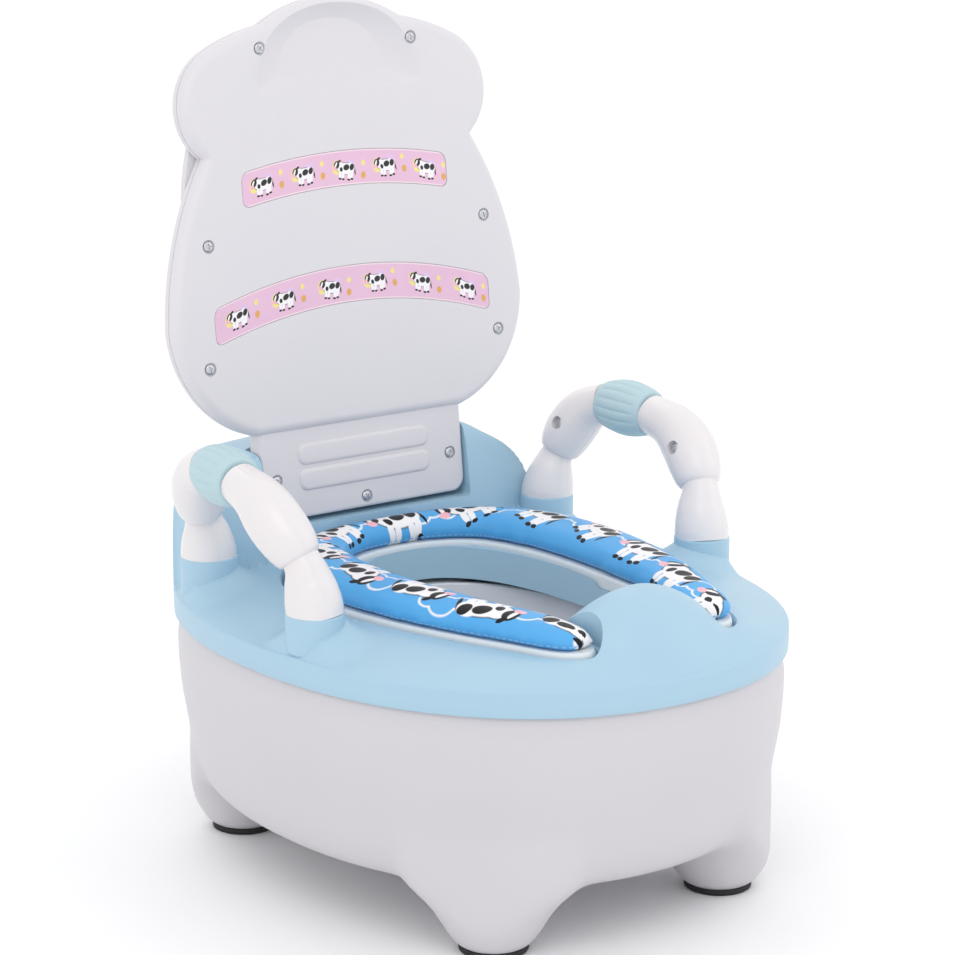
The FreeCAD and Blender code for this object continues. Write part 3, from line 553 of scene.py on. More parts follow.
@dataclass(frozen=True)
class PrintedLeathercloth:
    """Calendered PVC leathercloth with a screen print: a fine pebble, a soft shine and slow creases."""

    name: str
    blue: str = "#5ab0ea"
    shade: str = "#4fa2e0"
    thread: str = "#93c4ec"
    pitch_mm: float = 52.0
    pebble_mm: float = 1.2
    crease_mm: float = 14.0
    stitch_mm: float = 4.2
    seam_z_mm: float = 183.2

    def build(self) -> Finish:
        """The finished material."""
        material = bpy.data.materials.new(self.name)
        material.use_nodes = True
        tree = material.node_tree
        shader = tree.nodes["Principled BSDF"]
        place = add(tree, "ShaderNodeTexCoord").outputs["Object"]
        drift = add(tree, "ShaderNodeTexNoise", Vector=place, Scale=1 / (60 * MM), Detail=2.0)
        light, dark = linear(self.blue), linear(self.shade)
        ground = add(tree, "ShaderNodeMix", RGBA, i0=drift.outputs["Fac"], i6=light, i7=dark).outputs[2]
        cow_place, strip = repeat_cells(tree, self.pitch_mm, 1.0, 5.0, 0.5)
        cloud_place, _ = repeat_cells(tree, self.pitch_mm, 1.05, 7.0, 0.4, self.pitch_mm / 2)
        rims = [(Ink.WHITE, x, y, radius + 0.9, radius + 0.9, 0) for x, y, radius in CLOUD]
        colour = print_drawing(tree, ground, cloud_place, rims)
        for x, y, radius in CLOUD:
            middle = blot(tree, cloud_place, x, y, radius - 0.4, radius - 0.4)
            colour = add(tree, "ShaderNodeMix", RGBA, i0=middle, i6=colour, i7=ground).outputs[2]
        colour = print_drawing(tree, colour, cow_place, COW)
        thread = self.stitches(tree, place, strip)
        sewn = add(tree, "ShaderNodeMix", RGBA, i0=thread, i6=colour, i7=linear(self.thread))
        tree.links.new(sewn.outputs[2], shader.inputs["Base Color"])
        pebble = add(tree, "ShaderNodeTexVoronoi", Vector=place, Scale=1 / (self.pebble_mm * MM))
        scale = 1 / (self.crease_mm * MM)
        crease = add(tree, "ShaderNodeTexNoise", Vector=place, Scale=scale, Detail=4.0, Distortion=1.2)
        fold, dimple = crease.outputs["Fac"], pebble.outputs["Distance"]
        height = add(tree, "ShaderNodeMath", {"operation": "MULTIPLY_ADD"}, i0=fold, i1=2.5, i2=dimple)
        bump = add(tree, "ShaderNodeBump", Strength=0.14, Distance=0.6 * MM, Height=height.outputs[0])
        tree.links.new(bump.outputs[0], shader.inputs["Normal"])
        shader.inputs["Roughness"].default_value = 0.38
        shader.inputs["IOR"].default_value = 1.4
        shader.inputs["Specular IOR Level"].default_value = 0.35
        shader.inputs["Coat Weight"].default_value = 0.06
        shader.inputs["Coat Roughness"].default_value = 0.25
        return material

    def stitches(self, tree: Tree, place: Socket, strip: Socket) -> Socket:
        """Mask of the pale thread dashes along the lower seam.

        Args:
            tree: the material's node tree.
            place: position on the cushion in metres.
            strip: position along and across the strip in millimetres.

        Returns:
            The mask, 1 on a thread.
        """
        height = add(tree, "ShaderNodeSeparateXYZ", Vector=place).outputs[2]
        seam_z = self.seam_z_mm * MM
        off = add(tree, "ShaderNodeMath", {"operation": "SUBTRACT"}, i0=height, i1=seam_z).outputs[0]
        gap = add(tree, "ShaderNodeMath", {"operation": "ABSOLUTE"}, i0=off).outputs[0]
        span = {"From_Min": 0.3 * MM, "From_Max": 0.6 * MM, "To_Min": 1.0, "To_Max": 0.0}
        line = add(tree, "ShaderNodeMapRange", Value=gap, **span).outputs[0]
        along = add(tree, "ShaderNodeSeparateXYZ", Vector=strip).outputs[0]
        count = add(tree, "ShaderNodeMath", {"operation": "DIVIDE"}, i0=along, i1=self.stitch_mm).outputs[0]
        phase = add(tree, "ShaderNodeMath", {"operation": "FRACT"}, i0=count).outputs[0]
        dash = add(tree, "ShaderNodeMath", {"operation": "LESS_THAN"}, i0=phase, i1=0.62).outputs[0]
        return add(tree, "ShaderNodeMath", {"operation": "MULTIPLY"}, i0=line, i1=dash).outputs[0]


@dataclass(frozen=True)
class PrintedInlay:
    """Pink inlay, printed and clear-coated: a glossy label face with small cows and dots."""

    name: str
    count: int
    length_mm: float
    half_mm: float
    border: str = "#f0d9e2"
    pink: str = "#e6bfd8"
    shade: str = "#e0b6d0"

    def build(self) -> Finish:
        """The finished material."""
        material = bpy.data.materials.new(self.name)
        material.use_nodes = True
        tree = material.node_tree
        shader = tree.nodes["Principled BSDF"]
        place = add(tree, "ShaderNodeTexCoord").outputs["Object"]
        drift = add(tree, "ShaderNodeTexNoise", Vector=place, Scale=1 / (20 * MM), Detail=1.0)
        light, dark = linear(self.pink), linear(self.shade)
        colour = add(tree, "ShaderNodeMix", RGBA, i0=drift.outputs["Fac"], i6=light, i7=dark).outputs[2]
        cow_place, strip = repeat_cells(tree, self.length_mm / self.count, 0.4, 0.6, 0.12)
        colour = print_drawing(tree, colour, cow_place, DOTS + COW)
        height = add(tree, "ShaderNodeSeparateXYZ", Vector=strip).outputs[1]
        off = add(tree, "ShaderNodeMath", {"operation": "ABSOLUTE"}, i0=height).outputs[0]
        low, high = self.half_mm - 1.0, self.half_mm - 0.7
        edge = add(tree, "ShaderNodeMapRange", Value=off, From_Min=low, From_Max=high).outputs[0]
        edged = add(tree, "ShaderNodeMix", RGBA, i0=edge, i6=colour, i7=linear(self.border))
        tree.links.new(edged.outputs[2], shader.inputs["Base Color"])
        shader.inputs["Roughness"].default_value = 0.3
        shader.inputs["IOR"].default_value = 1.5
        shader.inputs["Coat Weight"].default_value = 0.3
        shader.inputs["Coat Roughness"].default_value = 0.1
        return material


def dress(piece: Piece, material: Finish) -> None:
    """Put material on the whole of piece."""
    if piece.data.materials:
        for i in range(len(piece.data.materials)):
            piece.data.materials[i] = material
    else:
        piece.data.materials.append(material)


def box_block(name: str, low: Sequence[float], high: Sequence[float], bevel: float = 0.0) -> Piece:
    """Block between two corners in millimetres, with rounded edges if bevel is set.

    Args:
        name: the object's name.
        low: lowest corner.
        high: highest corner.
        bevel: radius of the edges in millimetres.

    Returns:
        The block.
    """
    deselect_all()
    bpy.ops.mesh.primitive_cube_add(size=1)
    block = bpy.context.object
    block.name = name
    block.scale = [(b - a) * MM for a, b in zip(low, high)]
    block.location = [(a + b) / 2 * MM for a, b in zip(low, high)]
    bpy.ops.object.transform_apply(location=True, rotation=True, scale=True)
    if bevel:
        apply(block, "BEVEL", width=bevel * MM, segments=5, limit_method="ANGLE")
    return block


def lathe(name: str, profile: Sequence[tuple[float, float]], columns: int = 40) -> Piece:
    """Closed turned piece about Z.

    Args:
        name: the object's name.
        profile: points (radius, height) in millimetres; both ends lie on the axis.
        columns: points round the piece.

    Returns:
        The piece.
    """
    angle = np.linspace(0, TURN, columns, endpoint=False)
    circle = np.stack([np.cos(angle), np.sin(angle)], axis=1)
    return lay_grid(name, np.array([level(radius * circle, z) for radius, z in profile]) * MM)


def place_piece(piece: Piece, matrix: Matrix) -> None:
    """Move piece by matrix and make the new place its own.

    Args:
        piece: the object to move.
        matrix: where it goes.
    """
    take(piece)
    piece.matrix_world = matrix @ piece.matrix_world
    bpy.ops.object.transform_apply(location=True, rotation=True, scale=True)


def set_run(piece: Piece, run: np.ndarray) -> None:
    """Store positions along and across a strip, in millimetres, as the UV map run.

    Args:
        piece: the object.
        run: array of shape (vertices, 2).
    """
    layer = piece.data.uv_layers.new(name="run")
    corner = np.empty(len(piece.data.loops), int)
    piece.data.loops.foreach_get("vertex_index", corner)
    layer.data.foreach_set("uv", (run[corner] / 100).reshape(-1))


def corners_of(piece: Piece) -> np.ndarray:
    """Vertex positions of piece in millimetres.

    Args:
        piece: the object to read.

    Returns:
        Array of shape (vertices, 3).
    """
    flat = np.empty(len(piece.data.vertices) * 3)
    piece.data.vertices.foreach_get("co", flat)
    return flat.reshape(-1, 3) / MM


def move_corners(piece: Piece, points: np.ndarray) -> None:
    """Write vertex positions, in millimetres, back to piece."""
    piece.data.vertices.foreach_set("co", (points * MM).reshape(-1))
    piece.data.update()


def prism(name: str, rings: list[np.ndarray]) -> Piece:
    """Closed body of stacked rings with flat n-sided ends.

    Args:
        name: the object's name.
        rings: rows of points in millimetres, each at one height.

    Returns:
        The body.
    """
    body = lay_grid(name, np.array(rings) * MM)
    take(body)
    for end in (rings[0][0, 2], rings[-1][0, 2]):
        bpy.ops.object.mode_set(mode="EDIT")
        bpy.ops.mesh.select_mode(type="VERT")
        bpy.ops.mesh.select_all(action="DESELECT")
        bpy.ops.object.mode_set(mode="OBJECT")
        body.data.vertices.foreach_set("select", np.abs(corners_of(body)[:, 2] - end) < 1e-3)
        bpy.ops.object.mode_set(mode="EDIT")
        bpy.ops.mesh.edge_face_add()
        bpy.ops.object.mode_set(mode="OBJECT")
    close_and_face_outwards(body)
    return body


def stand_in(piece: Piece, body: Body, slot: str, finish: Finish, *nodes: str) -> None:
    """Dress piece, let it ride on body and take the place of nodes.

    Args:
        piece: the finished piece.
        body: the body that it moves with.
        slot: the record's material slot; not used.
        finish: its material.
        *nodes: the CAD nodes that it replaces.
    """
    dress(piece, finish)
    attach(piece, body.value)
    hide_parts(*nodes)
    LOG.info("%s: %d faces", piece.name, len(piece.data.polygons))


# ---- Base and pads ------------------------------------------------------------------


PAD_PROFILE = (
    (0, 0), (15.5, 0), (15.5, 0.5), (16.5, 0.5), (16.5, 0), (19.4, 0), (20.2, 0.6), (20.4, 1.3),
    (20.4, 3.2), (20.0, 3.8), (0, 3.8),
)


@dataclass
class Base:
    """White footed body with its drawer window, the drawer's front and four rubber pads."""

    half: tuple[float, float] = (164.0, 204.0)
    power: float = 2.18
    columns: int = 240
    profile: Pairs = (
        (0.0, 36.0), (0.4, 36.0), (0.70, 36.3), (0.80, 37.8), (0.86, 40.5), (0.905, 45.5),
        (0.93, 52.0), (0.95, 62.0), (0.969, 81.0), (0.99, 104.0), (0.998, 122.0), (1.0, 137.0),
    )
    leg: Pairs = (
        (0.0, 1.8), (19.0, 1.8), (22.0, 3.2), (25.0, 7.5), (29.0, 14.0), (33.0, 21.0), (37.0, 28.0),
        (42.5, 34.0), (49.0, 40.0), (56.0, 48.0), (56.0, 70.0), (0.0, 70.0),
    )
    leg_at: tuple[float, float] = (85.0, 131.0)
    leg_skin: float = 0.968
    top: float = 153.0
    step_z: float = 142.0
    top_inset: float = 1.5
    wall: float = 3.0
    voxel: float = 2.6
    window: tuple[float, float] = (84.0, 45.0)
    front_gap: float = 0.5
    beyond: tuple[float, float] = (260.0, 200.0)
    melt: tuple[float, float] = (104.0, 30.0)
    finger: tuple[float, float, float] = (34.0, 9.0, 11.0)
    finger_out: float = 4.5
    finger_z: float = 128.0
    backing_half_x: float = 40.0
    backing_y: tuple[float, float] = (-12.0, -2.0)
    backing_z: tuple[float, float] = (112.0, 144.0)

    def at_leg(self, side_x: int, side_y: int) -> Matrix:
        """Move from the origin to one leg's place on the floor."""
        return Matrix.Translation((side_x * self.leg_at[0] * MM, side_y * self.leg_at[1] * MM, 0))

    def column(self, inset: float, low: float, high: float, name: str) -> Piece:
        """Closed body with the base's profile.

        Args:
            inset: how far its wall is drawn in.
            low: height of its floor.
            high: height of its top.
            name: the object's name.

        Returns:
            The body.
        """
        rows = [(share, max(z, low), inset if share > 0 else 0.0) for share, z in self.profile]
        neck = inset + self.top_inset
        rows += [(1.0, self.step_z, neck), (1.0, high, neck), (0.0, high, 0.0)]
        layers = []
        for share, z, shrink in rows:
            half_x, half_y = (max(half * share - shrink, 0) for half in self.half)
            layers.append(level(oval(half_x, half_y, self.power, self.columns), z))
        return lay_grid(name, np.array(layers) * MM)

    def belly(self) -> Piece:
        """Outer form: belly and legs melted together."""
        body = self.column(0.0, self.profile[0][1], self.top, "base_form")
        skin_x, skin_y = (half * self.leg_skin for half in self.half)
        for side_x in (-1, 1):
            for side_y in (-1, 1):
                leg = lathe("leg", self.leg, 72)
                place_piece(leg, self.at_leg(side_x, side_y))
                ends = ((0.0, 1.0), (1.0, 1.0), (1.0, 90.0), (0.0, 90.0))
                skin = [level(oval(skin_x * k, skin_y * k, self.power, 120), z) for k, z in ends]
                carve(leg, lay_grid("skin", np.array(skin) * MM), "INTERSECT")
                carve(body, leg, "UNION")
        apply(body, "REMESH", mode="VOXEL", voxel_size=self.voxel * MM)
        low = body.vertex_groups.new(name="low")
        points = corners_of(body)
        top, fade = self.melt
        share = ramp(0, 1, (top - points[:, 2]) / fade)
        for index in np.nonzero(points[:, 2] < top)[0]:
            low.add([int(index)], float(share[index]), "REPLACE")
        apply(body, "SMOOTH", factor=0.6, iterations=40, vertex_group="low")
        apply(body, "SMOOTH", factor=0.5, iterations=4)
        points = corners_of(body)
        low_z = self.leg[0][1]
        points[points[:, 2] < low_z + 0.5, 2] = low_z
        move_corners(body, points)
        return body

    def finger_scoop(self) -> Piece:
        """Cutter for the finger recess in the drawer's front."""
        deselect_all()
        bpy.ops.mesh.primitive_uv_sphere_add(segments=64, ring_count=32, radius=1.0)
        scoop = bpy.context.object
        scoop.scale = [half * MM for half in self.finger]
        scoop.location = (0, (self.half[1] + self.finger_out) * MM, self.finger_z * MM)
        bpy.ops.object.transform_apply(location=True, rotation=True, scale=True)
        return scoop

    def build(self, finishes: Finishes) -> None:
        """Make the shell, the drawer's front and the pads.

        Args:
            finishes: materials by slot.
        """
        shell = self.belly()
        deselect_all()
        front = shell.copy()
        front.data = shell.data.copy()
        bpy.context.scene.collection.objects.link(front)
        floor_z = self.profile[0][1] + self.wall
        half_x, low_z = self.window
        far_y, far_z = self.beyond
        near_y = self.leg_at[1]
        carve(shell, self.column(self.wall, floor_z, far_z, "hollow"))
        carve(shell, box_block("window", (-half_x, near_y, low_z), (half_x, far_y, far_z)))
        smooth(shell, 38)
        shell.name = "base_moulding"
        stand_in(shell, Body.ROOT, "base", finishes["base"], "base_shell")
        gap = self.front_gap
        zone = box_block("zone", (gap - half_x, near_y, low_z + gap), (half_x - gap, far_y, far_z))
        carve(front, zone, "INTERSECT")
        carve(front, self.column(self.wall, floor_z, far_z, "hollow"))
        low = (-self.backing_half_x, self.half[1] + self.backing_y[0], self.backing_z[0])
        high = (self.backing_half_x, self.half[1] + self.backing_y[1], self.backing_z[1])
        carve(front, box_block("finger_backing", low, high, 3.0), "UNION")
        front.name = "drawer_front_moulding"
        carve(front, self.finger_scoop())
        smooth(front, 38)
        stand_in(front, Body.DRAWER, "base", finishes["base"], "drawer_front")
        for end, side_y in (("front", -1), ("rear", 1)):
            for side, side_x in (("left", -1), ("right", 1)):
                pad = lathe("pad_%s_%s" % (end, side), PAD_PROFILE, 72)
                place_piece(pad, self.at_leg(side_x, side_y))
                smooth(pad, 40)
                stand_in(pad, Body.ROOT, "pads", finishes["pads"], "foot_pad_%s_%s" % (end, side))


@dataclass
class Pot:
    """Slide-out bowl with its rolled rim and the bridge to the drawer's front."""

    half: tuple[float, float] = (70.0, 98.0)
    centre_y: float = -22.0
    power: float = 2.18
    columns: int = 160
    bridge: tuple[float, float] = (60.0, 180.5)
    bridge_start: float = 74.0
    bridge_z: tuple[float, float] = (151.6, 154.4)
    rib_z: tuple[float, float] = (143.0, 153.0)
    rib_half: float = 1.5
    section: Triples = (
        (0.0, 0.0, 49.0), (0.3, -3.0, 49.0), (0.62, -3.0, 49.2), (0.70, -3.0, 52.0),
        (0.78, -3.0, 60.0), (0.87, -3.0, 85.0), (0.94, -3.0, 118.0), (1.0, -3.0, 150.0),
        (1.0, -2.6, 153.6), (1.0, -1.5, 154.5), (1.0, 3.6, 154.5), (1.0, 5.0, 153.8),
        (1.0, 5.0, 151.2), (1.0, 4.0, 150.6), (1.0, 1.0, 151.2), (1.0, 0.0, 149.0), (0.94, 0.0, 118.0),
        (0.87, 0.0, 85.0), (0.78, 0.0, 57.0), (0.68, 0.0, 47.0), (0.60, 0.0, 46.0), (0.3, 0.0, 46.0),
        (0.0, 0.0, 46.0),
    )

    def build(self, finishes: Finishes) -> None:
        """Make the bowl and its bridge.

        Args:
            finishes: materials by slot.
        """
        rows = []
        for share, offset, z in self.section:
            half_x, half_y = (max(half * share + offset, 0) for half in self.half)
            rows.append(level(oval(half_x, half_y, self.power, self.columns, self.centre_y), z))
        pieces = [lay_grid("pot_bowl", np.array(rows) * MM)]
        half_x, rear = self.bridge
        start, half = self.bridge_start, self.rib_half
        (slab_low, slab_high), (rib_low, rib_high) = self.bridge_z, self.rib_z
        pieces.append(box_block("pot_bridge", (-half_x, start, slab_low), (half_x, rear, slab_high), 0.8))
        outer = half_x - half - 0.1
        for x in (-outer, 0, outer):
            pieces.append(box_block("pot_rib", (x - half, start, rib_low), (x + half, rear, rib_high), 0.6))
        pot = join(pieces, "pot_moulding")
        smooth(pot, 35)
        stand_in(pot, Body.DRAWER, "pot", finishes["pot"], "drawer_pot")


# ---- Seat panel ---------------------------------------------------------------------


@dataclass
class CushionPlan:
    """The cushion's U in plan, in millimetres, shared by the pocket and the cushion."""

    right_side: Pairs = (
        (0.0, 106.5), (45.0, 101.5), (84.0, 80.0), (106.0, 42.0), (110.5, -4.0), (104.0, -52.0),
        (89.5, -100.0), (76.0, -135.5), (67.5, -158.0), (58.0, -170.0), (47.0, -172.5), (39.0, -165.0),
        (37.0, -151.5), (41.5, -132.5), (48.5, -112.5), (54.5, -92.5), (58.5, -50.0), (60.5, -8.5),
        (58.0, 28.0), (48.0, 60.0), (29.0, 74.5), (0.0, 79.5),
    )

    def outline(self, per_span: int = 6) -> np.ndarray:
        """The whole closed outline.

        Args:
            per_span: points between two of the drawn ones.

        Returns:
            Points (x, y), run clockwise.
        """
        right = list(self.right_side)
        left = [(-x, y) for x, y in reversed(right[1:-1])]
        return through(right + left, per_span, closed=True)


@dataclass
class SeatPanel:
    """The pale-blue top: rim, deck, cushion pocket, splash guard, rear mound and handle bosses."""

    columns: int = 384
    power: float = 2.18
    rim: tuple[float, float] = (166.0, 206.0)
    opening: tuple[float, float, float, float] = (57.5, 108.25, -31.75, 2.6)
    rim_top: float = 165.5
    skirt_bottom: float = 150.6
    rim_round: float = 1.8
    deck_top: float = 178.0
    pocket_floor: float = 172.0
    collar_bottom: float = 157.5
    collar_wall: float = 2.5
    wall: float = 3.0
    deck_curve: float = 1.8
    edge_band: float = 9.0
    guard_sink: float = 9.0
    pocket: Pairs = (
        (172.0, 0.8), (172.6, 1.3), (176.2, 1.5), (177.2, 2.0), (177.9, 2.8), (178.3, 3.3),
        (260.0, 3.4),
    )
    guard_y: float = -155.0
    guard_foot: float = 158.0
    guard_radii: tuple[float, float, float] = (69.0, 51.0, 49.0)
    guard_curve: float = 0.72
    notch: tuple[float, float] = (85.0, 155.7)
    notch_y: tuple[float, float] = (140.0, 240.0)
    mound_reach_x: Pairs = (
        (0, 250), (40, 248.8), (62, 246), (79.8, 242.5), (93.5, 235), (110, 225), (121, 213),
        (127, 199), (131.5, 186), (136, 168), (140, 140),
    )
    mound_reach_y: Pairs = (
        (100, 150), (105, 172), (109, 200), (113, 226), (118, 243), (126, 250), (140, 251),
        (152, 249.5), (168, 242), (182, 227), (192, 209), (199, 188), (204, 166), (208, 140),
    )
    feet: Triples = ((145.5, -41.5, 190.6), (130.2, 95.5, 193.2))
    boss_radius: float = 17.3
    boss_fillet: float = 20.0
    boss_flare: float = 0.5
    recess: tuple[float, float, float] = (78.0, 135.4, 196.2)
    recess_depth: float = 60.0
    plan: CushionPlan = field(default_factory=CushionPlan)

    def __post_init__(self) -> None:
        """Keep the cushion's outline at hand."""
        self.edge = self.plan.outline()

    def to_rim(self, x: np.ndarray, y: np.ndarray) -> np.ndarray:
        """Distance from the rim, measured towards the middle.

        Args:
            x: positions in X.
            y: positions in Y.

        Returns:
            Distances in millimetres.
        """
        power = self.power
        share = (np.abs(x) / self.rim[0]) ** power + (np.abs(y) / self.rim[1]) ** power
        share = share ** (1 / power)
        return np.clip(np.hypot(x, y) * (1 / np.maximum(share, 1e-3) - 1), 0, None)

    def deck(self, x: np.ndarray, y: np.ndarray) -> np.ndarray:
        """Height of the plain deck, level round the cushion and falling away to the rim.

        Args:
            x: positions in X.
            y: positions in Y.

        Returns:
            Heights in millimetres.
        """
        away = np.clip(-distance_to_outline(np.column_stack([x, y]), self.edge), 0, None)
        fall = (away / np.maximum(away + self.to_rim(x, y), 1e-6)) ** self.deck_curve
        return self.deck_top - (self.deck_top - self.rim_top) * fall

    def top(self, x: np.ndarray, y: np.ndarray) -> np.ndarray:
        """Height of the finished top surface.

        Args:
            x: positions in X.
            y: positions in Y.

        Returns:
            Heights in millimetres.
        """
        deck = self.deck(x, y)
        across = through(self.mound_reach_x, 8)
        along = through(self.mound_reach_y, 8)
        by_x = np.interp(np.abs(x), across[:, 0], across[:, 1])
        by_y = np.interp(y, along[:, 0], along[:, 1])
        ridge = blend_min(by_x, by_y, 9.0)
        height = blend_max(deck, ridge, 7.0)
        half_x, half_y, rise = self.guard_radii
        span = (x / half_x) ** 2 + ((y - self.guard_y) / half_y) ** 2
        sink = self.guard_sink
        dome = self.guard_foot - sink + (rise + sink) * np.clip(1 - span, 0, 1) ** self.guard_curve
        raised = blend_max(height, dome, 8.0) - height
        fade = ramp(0.0, self.edge_band, self.to_rim(x, y))
        height = height + raised * fade
        for foot_x, foot_y, _ in self.feet:
            gap = np.hypot(np.abs(x) - foot_x, y - foot_y) - self.boss_radius
            near = np.clip(self.boss_fillet - np.clip(gap, 0, None), 0, None)
            height = np.maximum(height, deck + fade * self.boss_flare * near**2 / self.boss_fillet)
        return height

    def rows(self) -> np.ndarray:
        """Rows of points round the whole section: collar, deck, rim, skirt and underside."""
        rim = oval(self.rim[0], self.rim[1], self.power, self.columns)
        half_x, half_y, centre_y, power = self.opening
        hole = oval(half_x, half_y, power, self.columns, centre_y)
        run = rim - hole
        length = np.linalg.norm(run, axis=1, keepdims=True)
        out = run / length
        steps = np.concatenate([[0, 0.3, 0.9, 1.8, 3.0, 4.5], np.linspace(6.5, 100, 74)])
        steps = steps / steps[-1]
        usable = length - self.rim_round
        rows = []

        def ring(flat: np.ndarray, z: np.ndarray | float) -> None:
            """Add one row at heights z."""
            rows.append(level(flat, z))

        deck_rows = []
        for share in steps:
            flat = hole + out * usable * share
            height = self.top(flat[:, 0], flat[:, 1])
            edge = np.linalg.norm(flat - hole, axis=1)
            lip = 4.0 + 6.0 * ramp(self.deck_top + 2, self.deck_top + 14, self.top(hole[:, 0], hole[:, 1]))
            lip = np.minimum(lip, 10.0)
            near = np.clip(lip - edge, 0, None)
            rounding = lip - np.sqrt(np.clip(lip**2 - near**2, 0, None))
            deck_rows.append((flat, height - rounding * (height > self.deck_top + 1)))
        ring(hole + out * self.collar_wall, self.collar_bottom)
        ring(hole, self.collar_bottom)
        wall_top = deck_rows[0][1]
        for share in (0.04, 0.25, 0.5, 0.75, 0.93):
            ring(hole, self.collar_bottom + (wall_top - self.collar_bottom) * share)
        for flat, height in deck_rows:
            ring(flat, height)
        edge_z = deck_rows[-1][1]
        radius = self.rim_round
        for turn in (0.3, 0.6, 0.85, 1.0):
            angle = turn * math.pi / 2
            ring(rim - out * radius * (1 - math.sin(angle)), edge_z - radius * (1 - math.cos(angle)))
        ring(rim, self.skirt_bottom + 6)
        ring(rim - out * 0.2, self.skirt_bottom + 1.2)
        ring(rim - out * 0.9, self.skirt_bottom)
        ring(rim - out * (self.wall - 0.4), self.skirt_bottom)
        ring(rim - out * self.wall, self.skirt_bottom + 0.8)
        ring(rim - out * self.wall, self.rim_top - self.wall - 1.5)
        for share in (0.93, 0.85, 0.7, 0.5, 0.3, 0.15):
            flat = hole + out * (length - self.wall) * share
            under = np.minimum(self.deck(flat[:, 0], flat[:, 1]), self.pocket_floor)
            ring(flat, under - self.wall)
        ring(hole + out * self.collar_wall, self.pocket_floor - self.wall)
        return np.array(rows) * MM

    def build(self, finishes: Finishes) -> None:
        """Make the whole panel as one piece.

        Args:
            finishes: materials by slot.
        """
        panel = lay_grid("seat_panel_moulding", self.rows(), loop_rows=True)
        half_x, rear_y, floor_z = self.recess
        low, high = (-half_x, rear_y - self.recess_depth, floor_z), (half_x, rear_y, floor_z + 90)
        carve(panel, box_block("recess", low, high, 2.2))
        around = self.edge[::-1]
        carve(panel, prism("pocket", [level(inset(around, -gap), z) for z, gap in self.pocket]))
        notch_x, notch_z = self.notch
        low, high = (-notch_x, self.notch_y[0], notch_z - 30), (notch_x, self.notch_y[1], notch_z)
        carve(panel, box_block("notch", low, high))
        for foot_x, foot_y, foot_z in self.feet:
            for side in (-1, 1):
                panel = join([panel, self.boss(side * foot_x, foot_y, foot_z)], panel.name)
        smooth(panel, 40)
        stand_in(panel, Body.ROOT, "panel", finishes["panel"], "seat_panel")

    def boss(self, x: float, y: float, z: float) -> Piece:
        """A round boss under a handle's foot, with a rounded top edge.

        Args:
            x: its middle in X.
            y: its middle in Y.
            z: height of its top.

        Returns:
            The boss.
        """
        bottom = self.rim_top + 2
        deselect_all()
        place = (x * MM, y * MM, (z + bottom) / 2 * MM)
        radius, depth = self.boss_radius * MM, (z - bottom) * MM
        bpy.ops.mesh.primitive_cylinder_add(vertices=72, radius=radius, depth=depth, location=place)
        boss = bpy.context.object
        bpy.ops.object.transform_apply(location=True, rotation=True, scale=True)
        apply(boss, "BEVEL", width=1.6 * MM, segments=4, limit_method="ANGLE", angle_limit=math.radians(60))
        return boss


# ---- Tubes --------------------------------------------------------------------------


def tube(name: str, line: np.ndarray, radii: np.ndarray, side: Vector, groove: float = 0.0) -> Piece:
    """Closed round tube along a line, with a parting groove on both sides if groove is set.

    Args:
        name: the object's name.
        line: centreline points in millimetres.
        radii: a radius for each point; the first and last may be 0 to close the ends.
        side: direction that faces column 0; the groove lies a quarter turn from it.
        groove: depth of the groove in millimetres.

    Returns:
        The tube.
    """
    columns = 96
    angle = np.linspace(0, TURN, columns, endpoint=False)
    along = np.gradient(line, axis=0)
    for i in range(1, len(line)):
        if np.linalg.norm(line[i] - line[i - 1]) < 1e-6:
            along[i] = along[i - 1] if np.linalg.norm(along[i - 1]) > 1e-9 else along[i]
    rows = []
    for centre, radius, run in zip(line, radii, along):
        run = run / max(np.linalg.norm(run), 1e-9)
        first = np.array(side) - np.array(side) @ run * run
        first = first / np.linalg.norm(first)
        second = np.cross(run, first)
        reach = np.full(columns, radius)
        if groove and radius > groove:
            reach[[columns // 4, 3 * columns // 4]] -= groove
        circle = np.cos(angle)[:, None] * first + np.sin(angle)[:, None] * second
        rows.append(centre + reach[:, None] * circle)
    return lay_grid(name, np.array(rows) * MM)


def along_line(stations: np.ndarray, marks: Pairs) -> tuple[np.ndarray, np.ndarray]:
    """Points and radii of a tube from (station number, radius) marks.

    Args:
        stations: points that the centreline passes through.
        marks: station numbers, whole or part, with radii.

    Returns:
        Centreline points and radii.
    """
    fine = through(stations, 40)
    where = np.linspace(0, len(stations) - 1, len(fine))
    steps, radii = [], []
    for (a, ra), (b, rb) in zip(marks[:-1], marks[1:]):
        count = max(1, int(round((b - a) / 0.1)))
        for i in range(count):
            steps.append(a + (b - a) * i / count)
            radii.append(ra + (rb - ra) * i / count)
    steps.append(marks[-1][0])
    radii.append(marks[-1][1])
    line = np.stack([np.interp(steps, where, fine[:, k]) for k in range(3)], axis=1)
    return line, np.array(radii)


def pan_head(name: str, head_radius: float = 3.3) -> Piece:
    """Pan-head screw with a cross recess, top of its head at z = 0 and facing +Z.

    Args:
        name: the object's name.
        head_radius: radius of the head in millimetres.

    Returns:
        The screw.
    """
    r = head_radius
    crown = ((0, 0), (r * 0.45, -0.03), (r * 0.75, -0.18), (r * 0.93, -0.5), (r, -0.95), (r, -1.7))
    head = lathe(name, crown + ((1.6, -1.8), (1.6, -9.0), (0, -9.5)), 32)
    slots = []
    for half_x, half_y in ((1.75, 0.34), (0.34, 1.75)):
        slots.append(box_block("slot", (-half_x, -half_y, -0.9), (half_x, half_y, 0.5)))
    cross = join(slots, "cross")
    apply(cross, "REMESH", mode="VOXEL", voxel_size=0.17 * MM)
    carve(head, cross)
    return head


